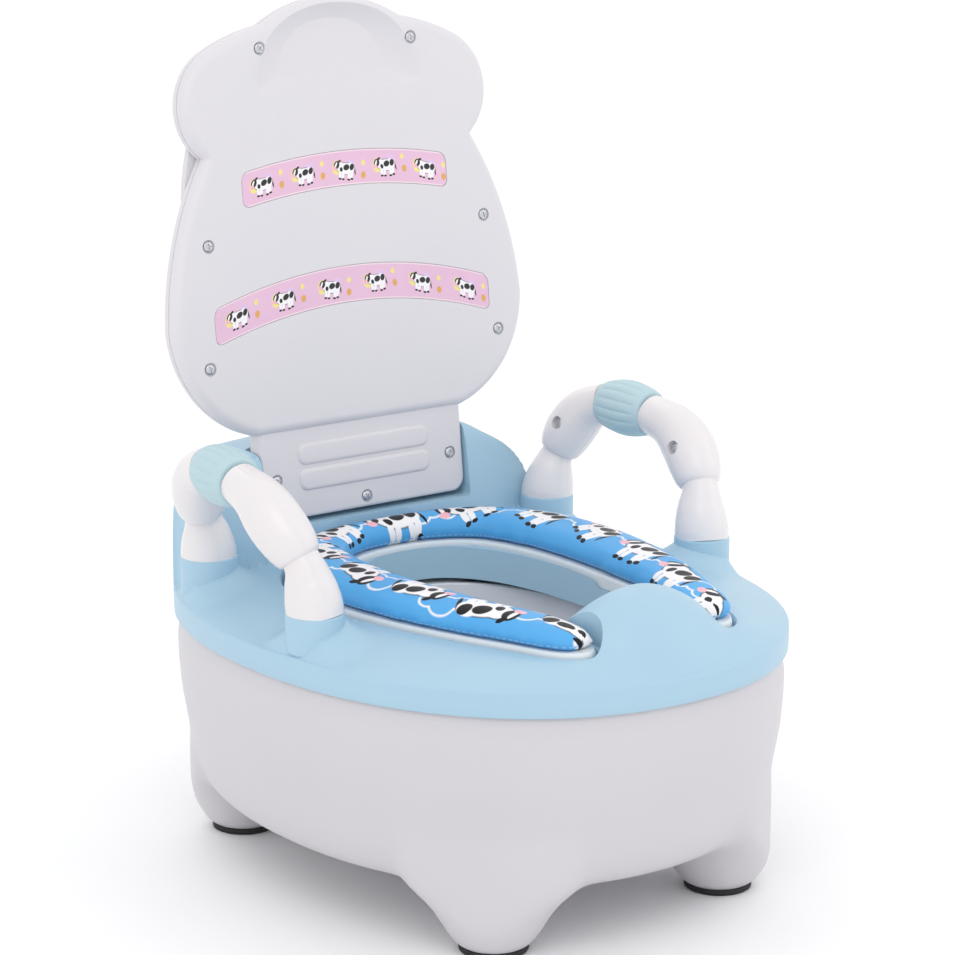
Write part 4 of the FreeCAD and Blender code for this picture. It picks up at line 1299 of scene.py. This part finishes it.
def facing(direction: Sequence[float], at: Sequence[float]) -> Matrix:
    """Matrix that turns +Z to direction and moves the origin to a point in millimetres."""
    turn = Vector((0, 0, 1)).rotation_difference(Vector(direction)).to_matrix().to_4x4()
    return Matrix.Translation(Vector(at) * MM) @ turn


# ---- Handles ------------------------------------------------------------------------


@dataclass
class Handle:
    """One side handle: two legs, each a post with an elbow, a ribbed grip and two screws."""

    front: Triples = (
        (145.2, -42.2, 187.6), (146.8, -38.5, 206.0), (149.6, -34.0, 220.3), (155.2, -17.6, 238.9),
        (156.2, -1.6, 250.0), (155.2, 20.1, 255.5),
    )
    rear: Triples = (
        (129.7, 95.8, 190.2), (132.6, 94.0, 207.0), (136.5, 92.0, 219.7), (143.2, 84.5, 238.2),
        (147.2, 74.7, 249.4), (150.9, 59.1, 256.7),
    )
    front_marks: Pairs = (
        (0.0, 0.0), (0.0, 16.6), (0.3, 16.9), (0.6, 16.4), (1.0, 15.0), (1.5, 12.9), (1.85, 11.5),
        (2.02, 11.1), (2.05, 12.3), (2.1, 13.2), (2.2, 14.3), (2.35, 15.3), (2.55, 16.2), (2.8, 16.8),
        (3.0, 16.9), (3.4, 16.6), (3.8, 15.6), (4.2, 14.3), (4.6, 13.2), (4.9, 12.7), (5.0, 12.5),
        (5.0, 0.0),
    )
    rear_marks: Pairs = (
        (0.0, 0.0), (0.0, 16.6), (0.3, 16.9), (0.6, 16.2), (1.0, 14.6), (1.5, 12.2), (1.85, 10.7),
        (2.02, 10.3), (2.05, 11.6), (2.1, 12.6), (2.2, 13.7), (2.35, 14.8), (2.55, 15.7), (2.8, 16.3),
        (3.0, 16.4), (3.4, 16.2), (3.8, 15.4), (4.2, 14.2), (4.6, 13.2), (4.9, 12.7), (5.0, 12.5),
        (5.0, 0.0),
    )
    side: tuple[float, float, float] = (0.9616, 0.1118, -0.2508)
    groove: float = 0.3
    grip_ends: tuple[float, float] = (13.6, 17.8)
    flutes: int = 16
    flute_depth: float = 0.9

    def build(self, finishes: Finishes, name: str, mirror: int) -> None:
        """Make one handle.

        Args:
            finishes: materials by slot.
            name: left or right.
            mirror: 1 for the right side, -1 for the left.
        """
        flip = np.array([mirror, 1, 1])
        side = Vector(self.side)
        side.x *= mirror
        screws = []
        legs = (("front", self.front, self.front_marks), ("rear", self.rear, self.rear_marks))
        for leg, stations, marks in legs:
            line, radii = along_line(np.array(stations) * flip, marks)
            piece = tube("handle_%s_%s_leg" % (name, leg), line, radii, side, groove=self.groove)
            centre = np.array(stations[3]) * flip
            radius = dict(marks)[3.0]
            inner = -np.array(side)
            bore = lathe("bore", ((0, -4.0), (4.3, -4.0), (4.3, 6.0), (0, 6.0)), 40)
            place_piece(bore, facing(inner, centre + inner * radius))
            carve(piece, bore)
            smooth(piece, 32)
            halves = ["handle_%s_%s_%s" % (name, leg, half) for half in ("inner", "outer")]
            stand_in(piece, Body.ROOT, "handle", finishes["handle"], *halves)
            screw = pan_head("screw")
            place_piece(screw, facing(inner, centre + inner * (radius - 2.2)))
            screws.append(screw)
        head = join(screws, "handle_%s_screw_heads" % name)
        smooth(head, 40)
        stand_in(head, Body.ROOT, "screws", finishes["screws"], "handle_%s_screws" % name)
        self.grip(finishes, name, flip, side)

    def grip(self, finishes: Finishes, name: str, flip: np.ndarray, side: Vector) -> None:
        """Make the barrel of the grip with its lengthwise ribs.

        Args:
            finishes: materials by slot.
            name: left or right.
            flip: factors for x, y and z that put it on its side.
            side: direction that faces away from the seat.
        """
        start = np.array(self.front[5]) * flip
        end = np.array(self.rear[5]) * flip
        low, high = self.grip_ends
        near = [0, 0, 0.012, 0.05, 0.12, 0.2, 0.3, 0.4]
        share = np.array(near + [0.5] + [1 - part for part in reversed(near)])
        reach = low + (high - low) * np.sin(np.pi * np.clip(share, 0, 1)) ** 0.75
        reach[[0, -1]] = 0
        reach[[1, -2]] = low - 0.5
        axis = (end - start) / np.linalg.norm(end - start)
        first = np.array(side) - np.array(side) @ axis * axis
        first /= np.linalg.norm(first)
        second = np.cross(axis, first)
        angle = np.linspace(0, TURN, 192, endpoint=False)
        wave = np.abs(np.cos(angle * self.flutes / 2)) ** 0.6
        rows = []
        circle = np.cos(angle)[:, None] * first + np.sin(angle)[:, None] * second
        fades = ramp(0.08, 0.2, share) * ramp(0.08, 0.2, 1 - share)
        for part, radius, fade in zip(share, reach, fades):
            flute = self.flute_depth * fade * (1 - wave) if radius > 1 else np.zeros(len(wave))
            rows.append(start + (end - start) * part + (radius - flute)[:, None] * circle)
        piece = lay_grid("handle_%s_grip_sleeve" % name, np.array(rows) * MM)
        apply(piece, "SUBSURF", levels=1)
        smooth(piece, 50)
        stand_in(piece, Body.ROOT, "grip", finishes["grip"], "handle_%s_grip" % name)


# ---- Lid ----------------------------------------------------------------------------


def arc_through(a: Sequence[float], b: Sequence[float], c: Sequence[float], count: int) -> np.ndarray:
    """Arc of the circle through three points.

    Args:
        a: where the arc starts.
        b: a point on the way.
        c: where the arc ends.
        count: number of points.

    Returns:
        Points from a on, without c.
    """
    ax, ay, bx, by, cx, cy = *a, *b, *c
    size_a, size_b, size_c = ax**2 + ay**2, bx**2 + by**2, cx**2 + cy**2
    double = 2 * (ax * (by - cy) + bx * (cy - ay) + cx * (ay - by))
    ux = (size_a * (by - cy) + size_b * (cy - ay) + size_c * (ay - by)) / double
    uy = (size_a * (cx - bx) + size_b * (ax - cx) + size_c * (bx - ax)) / double
    begin, middle, end = (math.atan2(y - uy, x - ux) for x, y in (a, b, c))
    sweep = (end - begin) % (2 * math.pi)
    if (middle - begin) % (2 * math.pi) > sweep:
        sweep -= 2 * math.pi
    angle = begin + sweep * np.linspace(0, 1, count, endpoint=False)
    radius = math.hypot(ax - ux, ay - uy)
    return np.stack([ux + radius * np.cos(angle), uy + radius * np.sin(angle)], axis=1)


@dataclass
class Lid:
    """Backrest that folds down as the lid: front and rear shells, two printed bands and nine screws.

    Drawn in its own flat frame: x across, s up the face and n out of the face.
    """

    lean_deg: float = 6.56
    foot: tuple[float, float] = (109.9, 200.0)
    arcs: tuple[Pairs, ...] = (
        ((77.0, 55.0), (115.0, 79.0), (132.6, 124.0)), ((132.6, 124.0), (122.5, 180.0), (100.5, 228.0)),
        ((100.5, 228.0), (114.2, 261.0), (94.0, 292.0)), ((94.0, 292.0), (74.0, 300.5), (52.0, 306.0)),
    )
    top: Pairs = ((52.0, 306.0), (0.0, 321.0), (-52.0, 306.0))
    middle: tuple[float, float] = (0.0, 172.0)
    round_front: float = 6.0
    round_back: float = 5.0
    parting: float = -8.0
    back: float = -16.0
    shadow_gap: float = 0.5
    neck_half_x: float = 77.0
    neck_face: float = -3.0
    neck_top: float = 72.0
    ribs: tuple[float, ...] = (39.5, 23.5)
    rib: tuple[float, float, float] = (50.0, 7.0, 1.5)
    dome: tuple[float, float, float, float] = (190.0, 112.0, 128.0, 14.0)
    screws: Pairs = (
        (56.7, 291.8), (-56.7, 291.8), (104.4, 175.3), (-104.4, 175.3), (110.0, 100.9),
        (-110.0, 100.9), (66.6, 25.4), (-66.6, 25.4), (0.0, 6.85),
    )
    scoop_middle: tuple[float, float] = (0.0, 268.0)
    scoop_half: tuple[float, float] = (61.0, 49.0)
    scoop_depth: float = 13.0
    scoop_crease: float = 7.0
    scoop_shift: float = 22.0

    def placing(self) -> Matrix:
        """Matrix from the lid's flat frame, in metres, to the chair."""
        lean = math.radians(self.lean_deg)
        sin, cos = math.sin(lean), math.cos(lean)
        turn = Matrix(((1, 0, 0), (0, sin, -cos), (0, cos, sin))).to_4x4()
        return Matrix.Translation((0, self.foot[0] * MM, self.foot[1] * MM)) @ turn

    def outline(self) -> np.ndarray:
        """Closed outline of the broad part, run anticlockwise from the neck's right corner."""
        right = [arc_through(*arc, 28) for arc in self.arcs]
        crown = arc_through(*self.top, 56)
        left = []
        for arc in reversed(self.arcs):
            a, b, c = [(-x, y) for x, y in reversed(arc)]
            left.append(arc_through(a, b, c, 28))
        across = np.linspace(-self.neck_half_x, self.neck_half_x, 40, endpoint=False)
        foot = np.stack([across, np.full(40, self.arcs[0][0][1])], axis=1)
        return np.concatenate(right + [crown] + left + [foot])

    def slab(self, name: str, face: float, rear: float, rounding: float, gap: float) -> Piece:
        """Flat body with the lid's outline and one rounded edge.

        Args:
            name: the object's name.
            face: height of the rounded side.
            rear: height of the parting side.
            rounding: radius of the rounded edge.
            gap: how far the last step at the parting side is drawn in.

        Returns:
            The body.
        """
        edge = self.outline()
        middle = np.array(self.middle)
        down = -1 if rear < face else 1
        rows = []

        def ring(flat: np.ndarray, n: float) -> None:
            """Add one row at height n."""
            rows.append(level(flat, n))

        core = inset(edge, rounding + 1.5)
        for share in (0.0, 0.2, 0.4, 0.6, 0.8, 1.0):
            ring(middle + (core - middle) * share, face)
        for turn in np.linspace(0, 1, 9):
            angle = turn * math.pi / 2
            drop = rounding * (1 - math.cos(angle))
            ring(inset(edge, rounding * (1 - math.sin(angle))), face + down * drop)
        ring(edge, rear - down * 0.5)
        ring(inset(edge, gap), rear - down * 0.45)
        ring(inset(edge, gap), rear)
        for share in (0.96, 0.5, 0.0):
            ring(middle + (edge - middle) * share, rear)
        return lay_grid(name, np.array(rows) * MM)

    def pill(
        self, name: str, half_x: float, span: tuple[float, float], rise: tuple[float, float],
        corner: float = 9.0, soft: float = 2.2,
    ) -> Piece:
        """Rounded rectangle raised from the lid's face or back.

        Args:
            name: the object's name.
            half_x: half width.
            span: lower and upper edge in s.
            rise: height of its base and of its face.
            corner: radius of the corners seen from the front.
            soft: radius of the edge round the face.

        Returns:
            The block.
        """
        (low, high), (foot, face) = span, rise
        ring = []
        for centre_x, centre_s, start in ((1, high, 0), (-1, high, 1), (-1, low, 2), (1, low, 3)):
            middle_x = centre_x * (half_x - corner)
            middle_s = centre_s - corner if centre_s == high else centre_s + corner
            for turn in np.linspace(start, start + 1, 10) * math.pi / 2:
                ring.append((middle_x + corner * math.cos(turn), middle_s + corner * math.sin(turn)))
        ring = np.array(ring)
        middle = np.array((0.0, (low + high) / 2))
        down = -1 if foot < face else 1

        def drawn_in(distance: float) -> np.ndarray:
            """The outline moved inwards."""
            size = np.array((half_x, (high - low) / 2))
            return middle + (ring - middle) * (1 - distance / size)

        rows = [level(middle + (drawn_in(soft) - middle) * share, face) for share in (0.0, 0.5, 1.0)]
        for angle in np.linspace(0, math.pi / 2, 6)[1:]:
            drop = soft * (1 - math.cos(angle))
            rows.append(level(drawn_in(soft * (1 - math.sin(angle))), face + down * drop))
        rows += [level(middle + (ring - middle) * share, foot) for share in (1.0, 0.5, 0.0)]
        return lay_grid(name, np.array(rows) * MM)

    def scoop(self) -> Piece:
        """Cutter for the bowl at the top: straight crease below, arch above."""
        angle = np.linspace(0, TURN, 128, endpoint=False)
        cos, sin = np.cos(angle), np.sin(angle)
        half_x, rise = self.scoop_half
        x = half_x * np.sign(cos) * np.abs(cos) ** 0.9
        y = np.where(sin > 0, rise * np.abs(sin), -self.scoop_crease * np.abs(sin) ** 0.55)
        shares = (1.0, 0.96, 0.9, 0.8, 0.7, 0.58, 0.45, 0.3, 0.15, 0.0)
        bowl = [(share, -self.scoop_depth * (1 - share**2.2)) for share in shares]
        middle_x, middle_s = self.scoop_middle
        rows = []
        for share, depth in [(0.0, 3.0), (1.05, 3.0)] + bowl:
            lift = self.scoop_shift * (1 - share) if share < 1 else 0.0
            flat = np.stack([x * share + middle_x, y * share + middle_s + lift], axis=1)
            rows.append(level(flat, depth))
        return lay_grid("scoop", np.array(rows) * MM)

    def band_block(self, name: str, band: "Band", low: float, high: float, grow: float) -> Piece:
        """Curved strip with round corners between two heights.

        Args:
            name: the object's name.
            band: the strip's size and place.
            low: height of its back.
            high: height of its face.
            grow: how far its outline is moved outwards.

        Returns:
            The strip.
        """
        half_length, half_width = band.half_length + grow, band.half_width + grow
        corner = band.corner + grow
        near = half_length - corner * (1 - np.cos(np.linspace(0, math.pi / 2, 9)))
        right = np.concatenate([np.linspace(0, half_length - corner, 24)[:-1], near[::-1]])
        across = np.concatenate([-right[:0:-1], right])
        rows = []
        for x in across:
            past = max(abs(x) - (half_length - corner), 0)
            half = half_width - corner + math.sqrt(max(corner**2 - past**2, 0))
            centre = band.middle(x)
            steps = np.linspace(-half, half, 12)
            face = [(x, centre + t, high) for t in steps]
            rear = [(x, centre + t, low) for t in steps[::-1]]
            rows.append(face + rear)
        caps = [[tuple(np.mean(rows[k], axis=0))] * 24 for k in (0, -1)]
        return lay_grid(name, np.array([caps[0]] + rows + [caps[1]]) * MM)

    def front(self, placing: Matrix) -> Piece:
        """Front shell with its neck, ribs, scoop, band recesses and screw wells, in place.

        Args:
            placing: matrix from the lid's flat frame to the chair.

        Returns:
            The shell.
        """
        shell = self.slab("lid_front_moulding", 0.0, self.parting, self.round_front, self.shadow_gap)
        neck_span = (0.0, self.neck_top)
        neck = self.pill("neck", self.neck_half_x, neck_span, (self.parting, self.neck_face))
        carve(shell, neck, "UNION")
        half_x, half_s, proud = self.rib
        rise = (self.neck_face - 2, self.neck_face + proud)
        for s in self.ribs:
            carve(shell, self.pill("rib", half_x, (s - half_s, s + half_s), rise, 5.5, 2.4), "UNION")
        carve(shell, self.scoop())
        for band in BANDS:
            carve(shell, self.band_block("recess", band, -1.0, 2.0, 0.35))
        wells = []
        for x, s in self.screws:
            well = lathe("well", ((0, -1.5), (4.1, -1.5), (4.4, 1.5), (0, 1.5)), 36)
            place_piece(well, Matrix.Translation(Vector((x, s, self.face_at(s))) * MM))
            wells.append(well)
        carve(shell, join(wells, "wells"))
        place_piece(shell, placing)
        smooth(shell, 30)
        return shell

    def face_at(self, s: float) -> float:
        """Height of the face at s: the neck's is lower than the broad part's."""
        return self.neck_face if s < self.arcs[0][0][1] else 0.0

    def screw_heads(self, placing: Matrix) -> Piece:
        """All the lid's screws as one piece, each turned its own way.

        Args:
            placing: matrix from the lid's flat frame to the chair.

        Returns:
            The screws.
        """
        heads = []
        for x, s in self.screws:
            head = pan_head("head")
            at = Matrix.Translation(Vector((x, s, self.face_at(s) + 0.3)) * MM)
            place_piece(head, placing @ at @ Matrix.Rotation(0.7 * x + s, 4, "Z"))
            heads.append(head)
        screws = join(heads, "lid_screw_heads")
        smooth(screws, 40)
        return screws

    def rear(self, placing: Matrix) -> Piece:
        """Rear shell with its neck and its slightly domed back, in place.

        Args:
            placing: matrix from the lid's flat frame to the chair.

        Returns:
            The shell.
        """
        shell = self.slab("lid_back_moulding", self.back, self.parting, self.round_back, self.shadow_gap)
        neck = self.pill("rear_neck", self.neck_half_x, (0.0, self.neck_top), (self.parting, self.back))
        carve(shell, neck, "UNION")
        middle_s, dome_x, dome_s, dome_n = self.dome
        deselect_all()
        bpy.ops.mesh.primitive_uv_sphere_add(segments=96, ring_count=48, radius=1.0)
        dome = bpy.context.object
        dome.scale = (dome_x * MM, dome_s * MM, dome_n * MM)
        dome.location = (0, middle_s * MM, (self.back + 0.01) * MM)
        bpy.ops.object.transform_apply(location=True, rotation=True, scale=True)
        carve(dome, box_block("clip", (-200, 0, -60), (200, 400, self.back + 2)), "INTERSECT")
        carve(shell, dome, "UNION")
        place_piece(shell, placing)
        smooth(shell, 30)
        return shell

    def inlay(self, band: "Band", placing: Matrix) -> Piece:
        """One printed strip, in place, with its print's positions.

        Args:
            band: the strip's size and place.
            placing: matrix from the lid's flat frame to the chair.

        Returns:
            The strip.
        """
        strip = self.band_block(band.node + "_inlay", band, -0.9, -0.15, 0.0)
        x, s, _ = corners_of(strip).T
        along = x + band.half_length + 500 * band.pitch()
        set_run(strip, np.stack([along, s - band.middle(x)], axis=1))
        place_piece(strip, placing)
        smooth(strip, 40)
        return strip

    def build(self, finishes: Finishes) -> None:
        """Make shells, bands and screws.

        Args:
            finishes: materials by slot.
        """
        placing = self.placing()
        stand_in(self.front(placing), Body.LID, "lid", finishes["lid"], "lid_front_shell")
        stand_in(self.screw_heads(placing), Body.LID, "screws", finishes["screws"], "lid_screws")
        stand_in(self.rear(placing), Body.LID, "lid", finishes["lid"], "lid_back_shell")
        for band in BANDS:
            stand_in(self.inlay(band, placing), Body.LID, "band", finishes[band.node], band.node)


@dataclass(frozen=True)
class Band:
    """Printed strip let into the lid's face."""

    node: str
    centre_top: float
    centre_bottom: float
    end_x: float
    end_drop: float
    cows: int
    corner: float = 5.0

    @property
    def half_length(self) -> float:
        """Half length along x."""
        return self.end_x

    @property
    def half_width(self) -> float:
        """Half height of the strip."""
        return (self.centre_top - self.centre_bottom) / 2

    def middle(self, x: np.ndarray | float) -> np.ndarray | float:
        """Height of the strip's middle line at x."""
        return (self.centre_top + self.centre_bottom) / 2 - self.end_drop * (x / self.end_x) ** 2

    def pitch(self) -> float:
        """Length that one animal takes."""
        return 2 * self.end_x / self.cows


BANDS = (
    Band("band_upper", 225.0, 203.6, 77.0, 8.0, 5),
    Band("band_lower", 153.5, 131.0, 104.0, 17.2, 6),
)


# ---- Cushion ------------------------------------------------------------------------


@dataclass
class Cushion:
    """Padded U of printed leathercloth over foam, blown tight and stitched along its lower edge."""

    middle: tuple[tuple[float, float, float, float], ...] = (
        (0.0, 93.0, 13.2, 20.5), (37.0, 88.0, 15.2, 21.0), (66.0, 70.0, 19.8, 21.3),
        (82.0, 35.0, 24.0, 21.5), (85.5, -6.0, 24.4, 21.5), (81.3, -51.0, 23.0, 21.2),
        (72.0, -96.0, 19.6, 20.6), (62.3, -124.0, 18.4, 19.6), (56.3, -142.0, 18.0, 18.4),
        (52.4, -155.0, 16.2, 16.6), (49.6, -163.5, 12.6, 14.0), (48.2, -169.4, 6.5, 9.5),
    )
    base_z: float = 179.6
    lift: float = -2.8
    board_steps: Pairs = ((172.3, 0.4), (178.2, 0.4), (179.4, 0.8), (180.2, 1.6))
    columns: int = 44
    per_span: int = 8
    voxel: float = 4.6
    pressure: float = 4.0
    blow_frames: int = 20
    farthest: float = 5.0

    def line(self) -> np.ndarray:
        """Centreline samples (x, y, half width, height) from the left tip to the right tip."""
        right = list(self.middle)
        left = [(-x, y, w, h) for x, y, w, h in reversed(right[1:])]
        return through(left + right, self.per_span)

    def skin(self) -> Piece:
        """Closed tube with a flat underside."""
        line = self.line()
        ahead = np.gradient(line[:, :2], axis=0)
        ahead /= np.linalg.norm(ahead, axis=1, keepdims=True)
        outwards = np.stack([-ahead[:, 1], ahead[:, 0]], axis=1)
        angle = np.linspace(0, TURN, self.columns, endpoint=False)
        cos, sin = np.cos(angle), np.sin(angle)
        rows = []
        for (x, y, half, high), out in zip(line, outwards):
            across = (half - 1.2) * np.sign(cos) * np.abs(cos) ** 0.8
            rise = high + self.lift
            over = 4.5 + (rise - 5.5) * np.abs(sin) ** 0.85
            under = 4.5 - 4.5 * np.abs(sin) ** 0.5
            lift = np.where(sin > 0, over, under)
            rows.append(np.column_stack([x + out[0] * across, y + out[1] * across, self.base_z + lift]))
        first, last = (np.repeat(row.mean(axis=0)[None], self.columns, 0) for row in (rows[0], rows[-1]))
        return lay_grid("cushion_padding", np.array([first] + rows + [last]) * MM)

    def inflate(self, piece: Piece) -> None:
        """Blow the cloth up against its own weave, with the underside held on its board.

        Args:
            piece: the padding, changed in place.
        """
        apply(piece, "REMESH", mode="VOXEL", voxel_size=self.voxel * MM)
        points = corners_of(piece)
        held = piece.vertex_groups.new(name="held")
        for index in np.nonzero(points[:, 2] < self.base_z + 2.6)[0]:
            held.add([int(index)], 1.0, "REPLACE")
        take(piece)
        cloth = piece.modifiers.new("Cloth", "CLOTH")
        cloth.settings.quality = 6
        cloth.settings.mass = 0.3
        cloth.settings.tension_stiffness = 40
        cloth.settings.compression_stiffness = 12
        cloth.settings.shear_stiffness = 10
        cloth.settings.bending_stiffness = 0.6
        cloth.settings.use_pressure = True
        cloth.settings.uniform_pressure_force = self.pressure
        cloth.settings.vertex_group_mass = "held"
        cloth.settings.effector_weights.gravity = 0.0
        cloth.point_cache.frame_start = 1
        cloth.point_cache.frame_end = self.blow_frames
        scene = bpy.context.scene
        for frame_number in range(1, self.blow_frames + 1):
            scene.frame_set(frame_number)
        take(piece)
        bpy.ops.object.modifier_apply(modifier=cloth.name)
        scene.frame_set(1)
        blown = corners_of(piece)
        travel = blown - points
        length = np.linalg.norm(travel, axis=1, keepdims=True)
        capped = points + travel * np.minimum(1, self.farthest / np.maximum(length, 1e-9))
        LOG.info("cushion rose %.1f mm", float(length.max()))
        capped[:, 2] = np.clip(capped[:, 2], self.base_z, None)
        move_corners(piece, capped)
        self.keep_inside(piece)
        apply(piece, "SUBSURF", levels=1)

    def nearest(self, points: np.ndarray) -> tuple[np.ndarray, np.ndarray]:
        """Place of points beside the centreline.

        Args:
            points: array of shape (n, 3) in millimetres.

        Returns:
            Length along the line and signed distance across it, outwards positive.
        """
        line = self.line()[:, :2]
        at = np.linspace(0, len(line) - 1, 900)
        fine = np.stack([np.interp(at, np.arange(len(line)), line[:, k]) for k in range(2)], axis=1)
        run = np.concatenate([[0], np.cumsum(np.linalg.norm(np.diff(fine, axis=0), axis=1))])
        ahead = np.gradient(fine, axis=0)
        ahead /= np.linalg.norm(ahead, axis=1, keepdims=True)
        along, across = np.empty(len(points)), np.empty(len(points))
        for start in range(0, len(points), 4000):
            some = slice(start, start + 4000)
            part = points[some, :2]
            gap = part[:, None] - fine[None]
            best = np.argmin((gap**2).sum(axis=2), axis=1)
            offset, way = part - fine[best], ahead[best]
            along[some] = run[best] + (offset * way).sum(axis=1)
            across[some] = way[:, 0] * offset[:, 1] - way[:, 1] * offset[:, 0]
        return along, across

    def keep_inside(self, piece: Piece) -> None:
        """Hold the skin inside the pocket and under its crest.

        Args:
            piece: the padding, changed in place.
        """
        points = corners_of(piece)
        line = self.line()
        crest = self.base_z + line[:, 3].max() + self.lift
        points[:, 2] = np.minimum(points[:, 2], crest + 1.2)
        gap = distance_to_outline(points[:, :2], CushionPlan().outline())
        out = np.nonzero(gap < 0.2)[0]
        centre = line[:, :2]
        for index in out:
            aim = centre[np.argmin(((centre - points[index, :2]) ** 2).sum(axis=1))]
            reach = aim - points[index, :2]
            points[index, :2] += reach / max(np.linalg.norm(reach), 1e-6) * min(0.2 - gap[index], 4.0)
        move_corners(piece, points)

    def board(self, finishes: Finishes) -> None:
        """Make the pale carrier board, whose edge shows under the cushion.

        Args:
            finishes: materials by slot.
        """
        around = CushionPlan().outline()[::-1]
        rings = [level(inset(around, gap), z) for z, gap in self.board_steps]
        board = prism("cushion_carrier_board", rings)
        smooth(board, 40)
        stand_in(board, Body.ROOT, "board", finishes["board"], "cushion_board")

    def build(self, finishes: Finishes) -> None:
        """Make board and cushion.

        Args:
            finishes: materials by slot.
        """
        self.board(finishes)
        piece = self.skin()
        self.inflate(piece)
        points = corners_of(piece)
        along, across = self.nearest(points)
        rise = points[:, 2] - self.base_z
        around = np.sign(across) * (np.abs(across) + 0.6 * np.clip(14 - rise, 0, None))
        set_run(piece, np.stack([along + 1000, around], axis=1))
        smooth(piece, 180)
        stand_in(piece, Body.ROOT, "cushion", finishes["cushion"], "cushion_cover", "cushion_foam")


# ---- Studio -------------------------------------------------------------------------


@dataclass
class Studio:
    """Pale floor, soft light and the camera."""

    azimuth_deg: float = -36.923
    elevation_deg: float = 13.6205
    distance: float = 2.02827
    aim: tuple[float, float] = (0.002377, 0.233246)
    centre_y: float = 0.0015
    lens_mm: float = 123.07

    def build(self) -> None:
        """Make camera, floor and lights."""
        azimuth, elevation = math.radians(self.azimuth_deg), math.radians(self.elevation_deg)
        right = Vector((math.cos(azimuth), math.sin(azimuth), 0))
        level_back = Vector((math.sin(azimuth), -math.cos(azimuth), 0))
        back = level_back * math.cos(elevation) + Vector((0, 0, math.sin(elevation)))
        up = back.cross(right)
        camera = bpy.data.objects.new("camera", bpy.data.cameras.new("camera"))
        bpy.context.scene.collection.objects.link(camera)
        turn = Matrix((right, up, back)).transposed().to_4x4()
        place = right * self.aim[0] + up * self.aim[1] + back * self.distance
        place += Vector((0, self.centre_y, 0))
        camera.matrix_world = Matrix.Translation(place) @ turn
        camera.data.lens = self.lens_mm
        camera.data.sensor_width = 36
        camera.data.clip_end = 20
        bpy.context.scene.camera = camera
        deselect_all()
        bpy.ops.mesh.primitive_plane_add(size=14)
        floor = bpy.context.object
        floor.name = "floor"
        dress(floor, FLOOR_PAPER.build())
        world = bpy.data.worlds.new("studio")
        bpy.context.scene.world = world
        world.use_nodes = True
        sky = world.node_tree.nodes["Background"]
        sky.inputs["Color"].default_value = (1.0, 1.0, 1.0, 1.0)
        sky.inputs["Strength"].default_value = 1.05
        self.softbox("key", (-1.3, -1.5, 2.3), (0.0, 0.0, 0.2), 1.7, 9)
        self.softbox("fill", (1.9, -1.2, 1.3), (0.0, 0.0, 0.2), 1.6, 3)
        self.softbox("rear", (0.6, 1.8, 1.9), (0.0, 0.0, 0.3), 1.6, 3)
        bpy.context.scene.view_settings.view_transform = "Standard"

    def softbox(
        self, name: str, place: Sequence[float], target: Sequence[float], size: float, power: float
    ) -> None:
        """Add one square area light.

        Args:
            name: the light's name.
            place: where it hangs, in metres.
            target: the point that it looks at.
            size: its side in metres.
            power: its power in watts.
        """
        light = bpy.data.lights.new(name, "AREA")
        light.size = size
        light.energy = power
        holder = bpy.data.objects.new(name, light)
        bpy.context.scene.collection.objects.link(holder)
        holder.location = place
        holder.rotation_euler = (Vector(target) - Vector(place)).to_track_quat("-Z", "Y").to_euler()


SLOT_FINISHES = {
    "base": WHITE_SATIN, "lid": WHITE_LID, "handle": WHITE_GLOSS, "panel": PALE_BLUE, "pot": POT_WHITE,
    "grip": GRIP_TEAL, "pads": PAD_BLACK, "board": BOARD_PALE, "foam": FOAM_CREAM,
    "steel": PlatedSteel("steel_pin_drawn", "#b9bbc0", 0.32), "screws": PlatedSteel("screw_zinc_plated"),
    "cushion": PrintedLeathercloth("leathercloth_blue_printed"),
}
for strip in BANDS:
    SLOT_FINISHES[strip.node] = PrintedInlay(
        strip.node.replace("band", "inlay_pink"), strip.cows, 2 * strip.half_length, strip.half_width
    )


def main() -> None:
    """Build every piece in order."""
    logging.basicConfig(level=logging.INFO, format="%(message)s")
    Studio().build()
    finishes = {slot: finish.build() for slot, finish in SLOT_FINISHES.items()}
    slots = {row["node"]: row["material_slot"] for row in frame["record"]["subparts"]}
    for node, piece in frame["nodes"].items():
        if slots[node] in finishes:
            dress(piece, finishes[slots[node]])
    Base().build(finishes)
    Pot().build(finishes)
    SeatPanel().build(finishes)
    Cushion().build(finishes)
    for name, mirror in (("right", 1), ("left", -1)):
        Handle().build(finishes, name, mirror)
    Lid().build(finishes)


if __name__ == "__main__":
    main()
